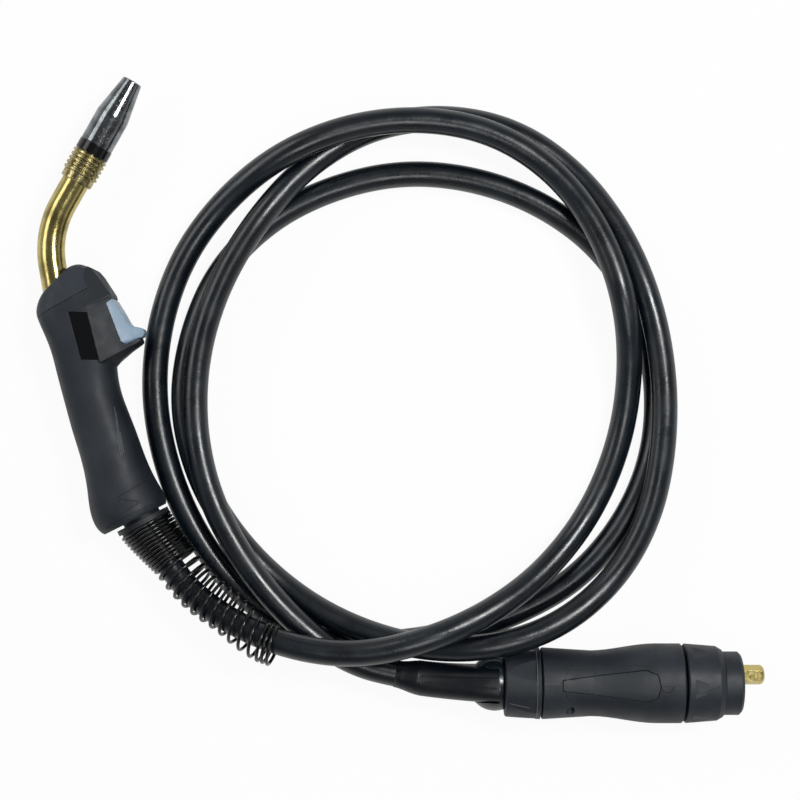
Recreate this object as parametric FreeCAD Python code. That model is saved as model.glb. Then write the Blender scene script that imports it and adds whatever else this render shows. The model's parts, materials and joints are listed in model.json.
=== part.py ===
import FreeCAD, Part
import math
import os

from FreeCAD import Vector

# Gas-cooled MIG welding torch lying on its side, all sizes in millimetres.
# Seen from above: +X to the right, +Y away, +Z up, floor at z = 0.
# The origin is on the floor under the middle of the torch itself, without its cable and plug.

# Middle of the torch in the plan numbers below; the finished pieces are moved so that it is the origin
TORCH_MIDDLE = (3.64, -0.05)

# Fits shared by several pieces
FIT = 0.05
SLIDE = 0.3
SEAM = 0.3
BOOL = 0.01
ROUND_STEPS = 16

# Mid plane of the handle, the neck and the gas nozzle
AXIS_Z = 23.5

# Front end of the swan neck, and the way that the head and the gas nozzle point from it
NECK_FRONT = Vector(-50.6364, 119.4534, AXIS_Z)
NOZZLE_DIRECTION = Vector(0.493, 0.870, 0)

# Gas nozzle, measured back from its mouth along its own axis
NOZZLE_LENGTH = 46.5
NOZZLE_BASE_RADIUS = 10.7
NOZZLE_TIP_RADIUS = 6.4
NOZZLE_WALL = 1.3
NOZZLE_PARALLEL = 21.0
NOZZLE_MOUTH_LAND = 6.0
NOZZLE_MOUTH_BORE = 5.1
NOZZLE_EDGE = 0.5
INSULATOR_LENGTH = 7.0
INSULATOR_RADIUS = 11.0

# Ribbed brass head and the parts that stand in it
HEAD_LENGTH = 20.0
HEAD_RADIUS = 11.4
HEAD_COLLAR_RADIUS = 10.4
HEAD_RIBS = 5
HEAD_RIB_PITCH = 3.0
HEAD_RIB_DEPTH = 1.1
HEAD_SPIGOT_RADIUS = 8.6
HEAD_SPIGOT_LENGTH = 16.0
NOZZLE_REACH = NOZZLE_LENGTH + INSULATOR_LENGTH + HEAD_LENGTH
NOZZLE_MOUTH = NECK_FRONT + NOZZLE_DIRECTION * (NOZZLE_REACH / NOZZLE_DIRECTION.Length)
DIFFUSER_RADIUS = 6.6
DIFFUSER_LENGTH = 17.0
DIFFUSER_HOLES = 8
DIFFUSER_HOLE_RADIUS = 0.9
HOLDER_RADIUS = 4.4
HOLDER_LENGTH = 28.0
TIP_RADIUS = 3.6
TIP_NOSE_RADIUS = 2.6
TIP_RECESS = 7.0
TIP_STEM_RADIUS = 2.2
TIP_STEM_LENGTH = 6.0
WIRE_BORE_RADIUS = 0.65

# Swan neck
NECK_RADIUS = 8.75
NECK_WALL = 1.2
NECK_LEAD = 15.7
NECK_BEND_RADIUS = 60.4
NECK_BEND_ANGLE = 39.3
NECK_TAIL = 36.0
NECK_CORE_RADIUS = 4.6
NECK_CORE_BORE = 2.6
LINER_RADIUS = 2.2
LINER_BORE = 1.0
SOCKET_LENGTH = 22.0
SOCKET_RADIUS = 9.7
SOCKET_FLANGE = 3.0
SOCKET_BODY_RADIUS = 7.0
NECK_NUT_LENGTH = 7.0
NECK_NUT_ACROSS = 19.0

# Handle: sections from the nose to the rear, each with its left and right edge in plan,
# its half thickness and how square it is (2 is an ellipse)
HANDLE_SECTIONS = [
    ((-69.5, 47.4), (-52.3, 65.9), 13.0, 2.4),
    ((-73.0, 43.5), (-45.4, 66.2), 17.0, 2.6),
    ((-74.6, 37.2), (-35.8, 60.4), 19.0, 2.8),
    ((-74.0, 32.8), (-29.0, 51.2), 20.0, 3.0),
    ((-70.8, 25.1), (-27.5, 37.8), 20.5, 3.0),
    ((-65.7, 12.4), (-24.9, 21.9), 20.5, 2.8),
    ((-61.9, -2.3), (-24.6, 4.7), 20.0, 2.5),
    ((-56.5, -23.3), (-21.5, -15.0), 19.5, 2.3),
    ((-52.3, -38.6), (-17.6, -25.9), 19.8, 2.3),
    ((-47.2, -55.2), (-11.7, -41.2), 20.5, 2.3),
    ((-42.7, -76.8), (-4.5, -60.3), 22.0, 2.2),
    ((-39.4, -95.3), (3.2, -75.0), 23.25, 2.2),
    ((-35.8, -101.9), (6.2, -80.6), 23.35, 2.2),
    ((-31.6, -105.0), (6.8, -85.5), 21.8, 2.2),
]
HANDLE_WALL = 2.6
HANDLE_CAVITY_FROM = 2
HANDLE_CAVITY_TO = 11
REAR_REACH = 18.3

# Nose cap: everything ahead of this seam in plan
NOSE_SEAM = [(-41.8, 78.0), (-42.4, 64.0), (-43.1, 57.4), (-40.7, 50.8), (-53.5, 42.8), (-82.0, 27.0)]
NOSE_FAR = [(-110.0, 27.0), (-110.0, 90.0), (-41.8, 90.0)]

# Trigger frame in plan: flat cheeks beside the trigger, a front arm along the top edge and a heel
PANEL_TOP = (-41.0, 39.3)
PANEL_FOOT = (-32.0, 4.1)
PANEL_CORNER = (-26.8, 47.3)
PANEL_TIP = (-8.0, 17.9)
HEEL_POINT = (-24.2, 1.4)
CHEEK_OUTLINE = [
    PANEL_TOP, PANEL_CORNER, (-25.6, 45.2), (-28.9, 41.7), (-19.7, 17.2), (-17.9, 15.6), (-15.1, 16.1),
    (-9.0, 20.1), PANEL_TIP, (-7.6, 16.9), (-8.7, 15.5), (-14.7, 11.3), (-21.8, 4.9), HEEL_POINT, PANEL_FOOT,
]
HEEL_OUTLINE = [PANEL_FOOT, (-26.1, 7.4), (-20.0, 10.9), (-21.8, 4.9), HEEL_POINT]
FRAME_REGION = [
    PANEL_TOP, NOSE_SEAM[3], NOSE_SEAM[2], NOSE_SEAM[1], NOSE_SEAM[0], (-2.0, 50.0), (-2.0, 14.0),
    (-8.7, 12.0), (-14.7, 9.0), (-21.8, 2.0), HEEL_POINT, PANEL_FOOT,
]
ARM_CREST = (-36.8, 60.8)
ARM_FOOT = (-26.5, 47.5)
ARM_SIDE = (-31.7, 58.0)
ARM_OUTLINE = [
    NOSE_SEAM[1], (-41.6, 65.1), (-35.2, 61.9), ARM_SIDE, (-26.0, 46.7), (-27.2, 44.6), (-36.0, 40.9),
    PANEL_TOP, NOSE_SEAM[3], NOSE_SEAM[2],
]

# Heights above the mid plane at the frame's corners, which set its sloping faces
CHEEK_HALF = 19.6
CORNER_HALF = 12.9
TIP_HALF = 8.9
ARM_CREST_HALF = 10.0
ARM_FOOT_HALF = 12.7
PANEL_FACE = [(PANEL_TOP, CHEEK_HALF), (PANEL_FOOT, CHEEK_HALF), (PANEL_TIP, TIP_HALF)]
HEEL_FACE = [(PANEL_FOOT, CHEEK_HALF), (PANEL_TIP, TIP_HALF), (HEEL_POINT, 0.0)]
FRONT_FACE = [(PANEL_TOP, CHEEK_HALF), (PANEL_CORNER, CORNER_HALF), (ARM_CREST, ARM_CREST_HALF)]
ARM_SIDE_FACE = [(ARM_CREST, ARM_CREST_HALF), (ARM_FOOT, ARM_FOOT_HALF), (ARM_SIDE, 0.0)]
CHEEK_WALL = 1.2
FRAME_SLOT_GAP = 0.4
FRAME_POCKET = [(-38.1, 35.5), (-36.4, 36.9), (-28.8, 19.5), (-29.6, 11.0), (-31.8, 10.5)]
FRAME_ROOF = 7.5
FRAME_FLOOR = 3.0

# Trigger in plan, the region of its tall face, its pivot and its travel
TRIGGER_OUTLINE = [
    (-27.6, 46.3), (-24.4, 42.9), (-19.2, 34.6), (-16.2, 29.3), (-14.6, 27.7), (-12.2, 27.0),
    (-9.0, 26.4), (-6.7, 25.2), (-5.8, 23.2), (-7.0, 20.6), (-9.6, 19.6), (-15.3, 16.6),
    (-17.9, 15.4), (-21.6, 15.4), (-24.6, 18.9), (-34.3, 41.2), (-34.2, 44.6), (-31.8, 46.6),
]
TRIGGER_FACE = [
    (-29.6, 41.4), (-25.4, 44.8), (-18.0, 51.0), (0.0, 32.0), (-5.0, 23.2), (-6.6, 22.3), (-9.5, 20.85),
    (-15.6, 16.85), (-18.1, 16.5), (-20.9, 17.9),
]
TRIGGER_HALF = 8.2
TRIGGER_PIVOT = Vector(-31.2, 43.4, AXIS_Z)
TRIGGER_TRAVEL = 5.0
TRIGGER_PIN_RADIUS = 1.3
TRIGGER_PIN_ABOVE = 12.0
TRIGGER_PIN_BELOW = 14.0
TRIGGER_EYE_RADIUS = 3.0
TRIGGER_SKIN = 2.6

# Lines moulded into both sides of the handle near its rear
GROOVE_WIDTH = 0.8
GROOVE_DEPTH = 0.5
REAR_GROOVES = [
    [(-20.2, -80.1), (-3.5, -70.3)],
    [(-19.5, -81.4), (-6.3, -83.1), (-14.6, -88.3)],
    [(-19.5, -82.6), (-21.4, -87.0)],
    [(-28.0, -99.8), (-19.3, -94.6), (-11.9, -90.9), (0.5, -85.2)],
]

# Switch behind the trigger; it faces the trigger along this direction
SWITCH_FACE = Vector(-27.9, 29.6, AXIS_Z)
SWITCH_DIRECTION = Vector(0.944, 0.330, 0)
SWITCH_DEPTH = 9.0
SWITCH_WIDTH = 16.0
SWITCH_HEIGHT = 6.4
SWITCH_TRAVEL = 1.5
BUTTON_RADIUS = 1.6
BUTTON_SHANK = 3.4
BUTTON_PROUD = 2.0
BUTTON_GAP = 0.1

# Blank label plates in the handle's sides
LABEL_OUTLINE = [(-51.8, 35.8), (-39.8, 35.5), (-32.1, 5.5), (-43.8, 5.9)]
LABEL_LEVEL = 19.3
LABEL_THICKNESS = 0.6
LABEL_MARGIN = 0.15

# Screws that close the handle, put in from below
SCREW_PLACES = [(-47.4, 40.6), (-38.0, -8.0), (-24.5, -50.0), (-34.0, -84.0)]
SCREW_RADIUS = 1.5
SCREW_HEAD_RADIUS = 2.9
SCREW_HEAD_HEIGHT = 2.2
SCREW_REACH = 9.0
SCREW_SINK = 8.0
BOSS_RADIUS = 3.6

# Power lead from the cable's front end to the neck
LEAD_RADIUS = 4.6
LEAD_LEAVES = 12.0
LEAD_MIDDLE = (-45.5, -27.0)
LEAD_ARRIVES = 20.0
CRIMP_RADIUS = 9.2
CRIMP_OVER = 6.0
CRIMP_AHEAD = 10.0
SWITCH_LEAD_RADIUS = 0.8
SWITCH_LEAD_SPREAD = 2.0
SWITCH_LEAD_ROUTE = [
    (-43.5, 15.0), (-41.5, 3.5), (-31.0, -8.5), (-27.5, -27.0), (-21.0, -43.0), (-13.5, -59.5),
]
SWITCH_LEAD_SIDE = 10.7

# Strain relief at the rear of the handle
RING_RADIUS = 17.7
RING_LENGTH = 3.4
CARRIER_RADIUS = 14.6
CARRIER_LENGTH = 12.0
CARRIER_BORE_GAP = 0.5
GLAND_RADIUS = 12.4
GLAND_LENGTH = 12.0
CARRIER_SHOULDER = 1.6
SPRING_WIRE = 2.2
SPRING_RADIUS = 16.9
SPRING_CLOSE_TURNS = 9
SPRING_CLOSE_PITCH = 3.34
SPRING_OPEN_TURNS = 11
SPRING_OPEN_PITCH = 7.0
SPRING_END_TURNS = 3
SPRING_END_PITCH = 3.1
SPRING_WAIST_RADIUS = 14.1
SPRING_END_RADIUS = 12.6
SPRING_HUG_GAP = 0.35
SPRING_DROOP_FROM = 0.64

# Cable: one unbroken length from the handle, three times round, to the plug
CABLE_RADIUS = 8.25
ROUTE = [
    (-16.5, -79, 23.5), (7.55, -126.2, 23.5), (37.8, -153.6, 33.5), (81.5, -173.5, 41.2),
    (128.5, -180, 44.2), (174.5, -169.5, 48.5), (215.5, -152, 38), (250.5, -127.5, 20),
    (280, -91, 8.3), (298, -47.5, 8.3), (304, -2, 17), (299, 42, 33.5),
    (284, 86.5, 29), (257, 125, 22.5), (217.5, 151, 24), (171.5, 160, 25.5),
    (124.5, 155, 27.5), (81, 137, 30), (44.5, 110.5, 14.5), (16, 74, 8.3),
    (0.5, 30, 8.3), (-3.5, -17, 8.3), (5, -63, 8.3), (23.5, -106, 8.3),
    (52, -143.5, 8.3), (90, -171, 8.3), (137, -178, 8.3), (183.5, -172.5, 8.3),
    (228.5, -158.5, 8.3), (269.5, -136, 8.3), (300.5, -100.5, 8.3), (319.5, -57.5, 8.3),
    (323, -10.5, 8.3), (313, 35.5, 8.3), (289, 76, 8.3), (252, 105, 8.3),
    (208.5, 122.5, 8.3), (161.5, 128, 8.3), (115.5, 119, 8.3), (73, 98.5, 8.3),
    (39.5, 65.5, 8.3), (21, 23, 8.3), (14.5, -23.5, 8.3), (25.5, -69.5, 8.3),
    (49, -109, 8.3), (82.5, -142, 8.8), (122, -164, 21), (167, -177, 28.2),
    (213, -176, 39), (256.5, -162.5, 35), (293, -134, 24.5), (316, -93, 23),
    (324.5, -46.5, 25.5), (324, 0.5, 25.5), (314.5, 46.5, 25.5), (297, 89, 18),
    (270, 126.5, 9), (231.5, 154, 8.3), (185.5, 164, 8.3), (138.5, 157.5, 8.3),
    (98.5, 133.5, 15), (68.5, 99.5, 26.8), (43, 60, 25.8), (27.5, 15.5, 23.6),
    (24, -31, 23.6), (33, -77.5, 26), (54, -119, 25.5), (83, -155.5, 25.5),
    (121.5, -186.0, 25.5), (162.5, -196, 25.7), (203, -199.5, 25.7), (260.5, -199.5, 25.7),
]
ARC_SHARE = 0.45

# Plug on the cable's far end, along +X; its pieces follow each other from the jacket's end
JACKET_END_X = ROUTE[-1][0]
PLUG_Y = ROUTE[-1][1]
PLUG_Z = ROUTE[-1][2]
JACKET_IN_PLUG = 38.3
COLLAR_FROM_X = JACKET_END_X - JACKET_IN_PLUG

# Bend sleeve: distance behind the collar, half width, half height and squareness
SLEEVE_STATIONS = [
    (54.2, 11.2, 10.3, 2.0), (38.2, 11.3, 11.6, 2.4), (19.2, 11.4, 15.2, 3.0), (3.8, 11.6, 17.0, 3.4),
]
SLEEVE_GROOVE_SHIFT = 5.2
SLEEVE_GROOVE = 0.9
SUPPORT_SLOT_GAP = 0.3
SUPPORT_SLOT_RISE = 3.0

# Ball of the cable support and the collar that holds it
BALL_SET_BACK = 6.0
BALL_CENTRE_X = COLLAR_FROM_X - BALL_SET_BACK
BALL_REAR = 12.5
BALL_FROM_X = BALL_CENTRE_X - BALL_REAR
BALL_SPHERE = 17.3
BALL_NECK_RADIUS = 16.4
BALL_STEPS = 10
COLLAR_LENGTH = 22.2
COLLAR_TO_X = COLLAR_FROM_X + COLLAR_LENGTH
COLLAR_REAR_RADIUS = 21.0
COLLAR_FRONT_RADIUS = 22.6
COLLAR_LIP = 2.2
COLLAR_FLAT = 21.2
COLLAR_RIM = 3.0
FLATS = 6

# Housing halves: neck inside the collar, waist, flare and rim
HOUSING_GAP = 1.2
HOUSING_FROM_X = COLLAR_TO_X + HOUSING_GAP
HOUSING_WAIST_LENGTH = 31.4
HOUSING_WAIST_X = HOUSING_FROM_X + HOUSING_WAIST_LENGTH
HOUSING_FLARE_LENGTH = 41.2
HOUSING_FLARE_X = HOUSING_WAIST_X + HOUSING_FLARE_LENGTH
HOUSING_RIM_LENGTH = 16.2
HOUSING_TO_X = HOUSING_FLARE_X + HOUSING_RIM_LENGTH
HOUSING_REAR_RADIUS = 22.6
HOUSING_WAIST_RADIUS = 20.7
HOUSING_FRONT_RADIUS = 25.1
HOUSING_WALL = 3.0
HOUSING_EDGE = 0.6
HOUSING_STEPS = 8
HOUSING_NECK_RADIUS = 17.6
HOUSING_NECK_FROM_X = COLLAR_FROM_X + 7.8
HOUSING_BORE_RADIUS = 13.6
PARTING_SHIFT = 1.6
PARTING_Y = PLUG_Y + PARTING_SHIFT

# Grip inlay: distance from the housing's rear edge and half width
INLAY_OUTLINE = [(12.4, 3.2), (63.9, 9.6), (70.9, 7.0), (72.6, 0.0)]
INLAY_PROUD = 0.3
INLAY_DEPTH = 1.2
INLAY_GAP = 0.45

# Half ring pressed into the housing past the inlay
MARK_AT = 76.8
MARK_RADIUS = 4.3
MARK_WIDTH = 0.7
MARK_DEPTH = 0.5
INLAY_LEVEL = 12.0

# Adaptor nut, which turns on the plug body's stem between the housing and a retaining ring
NUT_GAP = 1.8
NUT_FROM_X = HOUSING_TO_X + NUT_GAP
NUT_LENGTH = 23.8
NUT_TO_X = NUT_FROM_X + NUT_LENGTH
NUT_RADIUS = 25.0
NUT_FRONT_RADIUS = 23.5
NUT_CHAMFER = 3.6
NUT_MOUTH_RADIUS = 21.4
NUT_THREAD_RADIUS = 20.6
NUT_LIP_LENGTH = 4.0
NUT_FLAT = 24.0
NUT_REAR_BAND = 4.0
RETAINER_X = NUT_FROM_X + NUT_LIP_LENGTH + SLIDE
RETAINER_WIDTH = 2.0
RETAINER_RADIUS = 19.0

# Plug body: flange inside the housing, stem and nose
BODY_FLANGE_RADIUS = 19.8
BODY_FLANGE_LENGTH = 6.0
BODY_STEM_RADIUS = 17.0
NOSE_GAP = 0.4
BODY_NOSE_FROM_X = NUT_TO_X + NOSE_GAP
BODY_NOSE_LENGTH = 11.6
BODY_NOSE_TO_X = BODY_NOSE_FROM_X + BODY_NOSE_LENGTH
BODY_NOSE_RADIUS = 20.0
BODY_NOSE_EDGE = 1.6

# Crimp on the cable's end, power block, gun pin and the liner nut in front of it
REAR_CRIMP_OVER = 10.5
REAR_CRIMP_AHEAD = 25.5
REAR_CRIMP_RADIUS = 9.8
POWER_BLOCK_FROM_X = JACKET_END_X + REAR_CRIMP_AHEAD
POWER_BLOCK_LENGTH = 18.0
POWER_BLOCK_TO_X = POWER_BLOCK_FROM_X + POWER_BLOCK_LENGTH
POWER_BLOCK_RADIUS = 12.4
POWER_BLOCK_SHIFT = 2.2
GUN_PIN_SHIFT = 5.4
GUN_PIN_RADIUS = 5.0
GUN_PIN_PROUD = 1.5
GUN_PIN_TO_X = BODY_NOSE_TO_X + GUN_PIN_PROUD
GUN_PIN_BORE = 2.4
LINER_NUT_ACROSS = 10.8
LINER_NUT_LENGTH = 13.5
LINER_NUT_ROUND = 2.2
LINER_NUT_STEM = 8.0
LINER_NUT_BORE = 1.2

# Two spring contacts in barrels behind the nose's face
CONTACT_Y = -9.0
CONTACT_SPREAD = 6.0
CONTACT_RADIUS = 1.8
CONTACT_HEAD_RADIUS = 2.6
CONTACT_HEAD_LENGTH = 2.0
CONTACT_STROKE = 2.5
CONTACT_GUIDE = 10.0
CONTACT_SPRING_WIRE = 0.5
CONTACT_SPRING_RADIUS = 1.7
CONTACT_SPRING_TURNS = 7
CONTACT_SPRING_PITCH = 1.0
CONTACT_SPRING_GAP = 0.25
BARREL_RADIUS = 3.6
BARREL_BASE = 1.5
BARREL_SET_BACK = 4.0
CONTACT_SPRING_WOUND = CONTACT_SPRING_TURNS * CONTACT_SPRING_PITCH
CONTACT_SPRING_LENGTH = CONTACT_SPRING_WOUND + CONTACT_SPRING_WIRE + 2 * CONTACT_SPRING_GAP
BARREL_TO_X = BODY_NOSE_TO_X - BARREL_SET_BACK
CONTACT_HEAD_TO_X = BARREL_TO_X - CONTACT_GUIDE
CONTACT_HEAD_FROM_X = CONTACT_HEAD_TO_X - CONTACT_HEAD_LENGTH
BARREL_FROM_X = CONTACT_HEAD_FROM_X - CONTACT_STROKE - CONTACT_SPRING_LENGTH - BARREL_BASE

# Control wires behind the barrels: distance behind a barrel, then sideways and outward
CONTROL_WIRE_RADIUS = 0.8
CONTROL_WIRE_HOLE = 1.6
CONTROL_ROUTE = [(0.0, 0.0, 0.0), (13.0, 0.3, 0.0), (27.0, -0.3, 0.3), (43.0, -4.4, 0.9),
                 (61.0, -4.6, -1.0), (78.0, -2.8, -2.6), (92.0, -2.2, -3.6)]

# Screws that close the housing: distance from its rear edge and height over the plug's axis
HOUSING_SCREW_PLACES = [(17.4, 15.0), (68.4, -17.4)]
HOUSING_SCREW_RADIUS = 1.3
HOUSING_SCREW_HEAD = 2.4
HOUSING_SCREW_HEAD_HEIGHT = 1.8
HOUSING_SCREW_HALF = 11.0
HOUSING_SCREW_GRIP = 8.0
HOUSING_BOSS_RADIUS = 3.0

os.makedirs("parts", exist_ok=True)
UP = Vector(0, 0, 1)
ALONG = Vector(1, 0, 0)


def save(name, shape):
    """Write one piece in the torch's own frame and say what it holds."""
    if not shape.isValid():
        print("NOT VALID", name)
    placed = shape.translated(Vector(-TORCH_MIDDLE[0], -TORCH_MIDDLE[1], 0))
    placed.exportStep("parts/" + name + ".step")
    print(name, "solids", len(placed.Solids), "volume", round(placed.Volume, 1))


def say(label, point):
    """Print a point in the torch's own frame."""
    print(label, round(point.x - TORCH_MIDDLE[0], 3), round(point.y - TORCH_MIDDLE[1], 3), round(point.z, 3))


def unit(vector):
    """The same direction at length one."""
    result = Vector(vector)
    result.normalize()
    return result


def plan(point, z=AXIS_Z):
    """A plan point as a vector at a height."""
    return Vector(point[0], point[1], z)


def rod(base, direction, radius, length):
    """A round bar from a base point."""
    return Part.makeCylinder(radius, length, base, direction)


def pipe(base, direction, outer, inner, length):
    """A round bar with a bore right through."""
    bore = rod(base - unit(direction) * BOOL, direction, inner, length + 2 * BOOL)
    return rod(base, direction, outer, length).cut(bore)


def prism(outline, low, high):
    """A flat plan outline raised from one height to another."""
    points = [plan(p, low) for p in outline]
    face = Part.Face(Part.makePolygon(points + points[:1]))
    return face.extrude(UP * (high - low))


def turned(profile, base, direction):
    """A body of revolution from pairs of distance along the axis and radius."""
    axis = unit(direction)
    side = unit(axis.cross(UP))
    points = [base + axis * s + side * r for s, r in profile]
    face = Part.Face(Part.makePolygon(points + points[:1]))
    return face.revolve(base, axis, 360)


def hexagon(base, direction, across, length):
    """A six-sided bar, measured across its flats."""
    axis = unit(direction)
    side = ALONG if abs(axis.z) > 0.9 else unit(axis.cross(UP))
    corner = across / 2 / math.cos(math.pi / 6)
    points = []
    for k in range(6):
        angle = math.radians(60 * k)
        rise = axis.cross(side) * math.sin(angle)
        points.append(base + (side * math.cos(angle) + rise) * corner)
    return Part.Face(Part.makePolygon(points + points[:1])).extrude(axis * length)


def half_space(upper, reach=600.0):
    """A large block above or below the handle's mid plane."""
    low = AXIS_Z if upper else AXIS_Z - reach
    return Part.makeBox(2 * reach, 2 * reach, reach, Vector(-reach, -reach, low))


def section(left, right, half, power, inset):
    """A closed rounded section across the handle, drawn in by an inset."""
    start = plan(left)
    finish = plan(right)
    centre = (start + finish) * 0.5
    across = unit(finish - start)
    wide = (finish - start).Length / 2 - inset
    tall = half - inset
    points = []
    for k in range(ROUND_STEPS):
        angle = 2 * math.pi * k / ROUND_STEPS
        c = math.cos(angle)
        s = math.sin(angle)
        x = math.copysign(abs(c) ** (2 / power), c) * wide
        z = math.copysign(abs(s) ** (2 / power), s) * tall
        points.append(centre + across * x + UP * z)
    curve = Part.BSplineCurve()
    curve.interpolate(Points=points, PeriodicFlag=True)
    return Part.Wire(curve.toShape())


def handle_form(inset, first=0, last=len(HANDLE_SECTIONS) - 1):
    """The handle's smooth body between two of its sections."""
    wires = []
    for left, right, half, power in HANDLE_SECTIONS[first:last + 1]:
        wires.append(section(left, right, half, power, inset))
    return Part.makeLoft(wires, True, False)


def rounded_route(points):
    """Straight runs joined by tangent arcs, with the radius of each arc."""
    corners = [Vector(*p) for p in points]
    runs = [(corners[i + 1] - corners[i]).Length for i in range(len(corners) - 1)]
    edges = []
    radii = []
    here = corners[0]
    for i in range(1, len(corners) - 1):
        back = unit(corners[i - 1] - corners[i])
        ahead = unit(corners[i + 1] - corners[i])
        half_turn = (math.pi - back.getAngle(ahead)) / 2
        reach = ARC_SHARE * min(runs[i - 1], runs[i])
        radius = reach / math.tan(half_turn)
        enter = corners[i] + back * reach
        leave = corners[i] + ahead * reach
        bisector = unit(back + ahead)
        middle = corners[i] + bisector * (radius / math.cos(half_turn) - radius)
        edges.append(Part.LineSegment(here, enter).toShape())
        edges.append(Part.Arc(enter, middle, leave).toShape())
        here = leave
        radii.append(radius)
    edges.append(Part.LineSegment(here, corners[-1]).toShape())
    return edges, radii


def swept(edges, radius):
    """A round tube along a chain of edges."""
    first = edges[0]
    start = first.valueAt(first.FirstParameter)
    heading = first.tangentAt(first.FirstParameter)
    ring = Part.Wire(Part.Circle(start, heading, radius).toShape())
    return Part.Wire(edges).makePipeShell([ring], True, False)


def places_along(edges, step):
    """Points and headings at even steps along a chain of edges."""
    found = []
    done = 0.0
    target = 0.0
    for edge in edges:
        while target <= done + edge.Length:
            parameter = edge.getParameterByLength(target - done)
            found.append((target, edge.valueAt(parameter), edge.tangentAt(parameter)))
            target += step
        done += edge.Length
    return found, done


def least_gap(points, thickness, apart):
    """The least clear space between stretches of one tube, by cells of space."""
    cell = 4 * thickness
    cells = {}
    for i, (distance, p) in enumerate(points):
        key = (int(p.x // cell), int(p.y // cell), int(p.z // cell))
        cells.setdefault(key, []).append((distance, p))
    least = 1e9
    for (i, j, k), members in cells.items():
        near = []
        for a in (-1, 0, 1):
            for b in (-1, 0, 1):
                for c in (-1, 0, 1):
                    near += cells.get((i + a, j + b, k + c), [])
        for distance, p in members:
            for other, q in near:
                if other - distance > apart:
                    least = min(least, (p - q).Length)
    return least - thickness


def biarc(start, heading, finish, end_heading):
    """Two arcs that leave and arrive along given headings."""
    chord = finish - start
    both = heading + end_heading
    a = 2 * (1 - heading.dot(end_heading))
    b = 2 * chord.dot(both)
    c = -chord.dot(chord)
    if abs(a) < 1e-9:
        d = -c / b
    else:
        d = (-b + math.sqrt(b * b - 4 * a * c)) / (2 * a)
    first = start + heading * d
    second = finish - end_heading * d
    joint = (first + second) * 0.5
    edges = []
    for p, t, q in ((start, heading, joint), (finish, end_heading * -1, joint)):
        span = q - p
        side = unit(span - t * span.dot(t))
        rise = span.dot(side)
        if rise < 1e-7:
            edges.append(Part.LineSegment(p, q).toShape())
            continue
        radius = span.dot(span) / (2 * rise)
        centre = p + side * radius
        middle = centre + unit((p + q) * 0.5 - centre) * radius
        if t == heading:
            edges.append(Part.Arc(p, middle, q).toShape())
        else:
            edges.append(Part.Arc(q, middle, p).toShape())
    return edges


def coil_edges(place, turns, steps=4):
    """Quarter-turn biarcs through a winding given by a function of its turn."""
    nudge = 1e-4
    stations = []
    for k in range(int(turns * steps) + 1):
        t = k / steps
        heading = unit(place(t + nudge) - place(t - nudge))
        stations.append((place(t), heading))
    edges = []
    for (p, h), (q, g) in zip(stations, stations[1:]):
        edges += biarc(p, h, q, g)
    return edges


def neck_edges():
    """The neck's centre line: lead, bend and tail."""
    heading = NOZZLE_DIRECTION * -1
    start = NECK_FRONT
    bend_from = start + heading * NECK_LEAD
    side = Vector(heading.y * -1, heading.x, 0)
    centre = bend_from + side * NECK_BEND_RADIUS
    half = math.radians(NECK_BEND_ANGLE / 2)
    whole = math.radians(NECK_BEND_ANGLE)
    middle = centre + (side * -math.cos(half) + heading * math.sin(half)) * NECK_BEND_RADIUS
    bend_to = centre + (side * -math.cos(whole) + heading * math.sin(whole)) * NECK_BEND_RADIUS
    out = heading * math.cos(whole) + side * math.sin(whole)
    finish = bend_to + out * NECK_TAIL
    edges = [
        Part.LineSegment(start, bend_from).toShape(),
        Part.Arc(bend_from, middle, bend_to).toShape(),
        Part.LineSegment(bend_to, finish).toShape(),
    ]
    return edges, finish, out


NOZZLE_DIRECTION = unit(NOZZLE_DIRECTION)
JACKET_END = Vector(*ROUTE[0])
REAR_DIRECTION = unit(Vector(*ROUTE[1]) - JACKET_END)
REAR_CENTRE = JACKET_END + REAR_DIRECTION * REAR_REACH
SWITCH_DIRECTION = unit(SWITCH_DIRECTION)
BACK = NOZZLE_DIRECTION * -1
NECK_EDGES, NECK_END, NECK_OUT = neck_edges()


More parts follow.
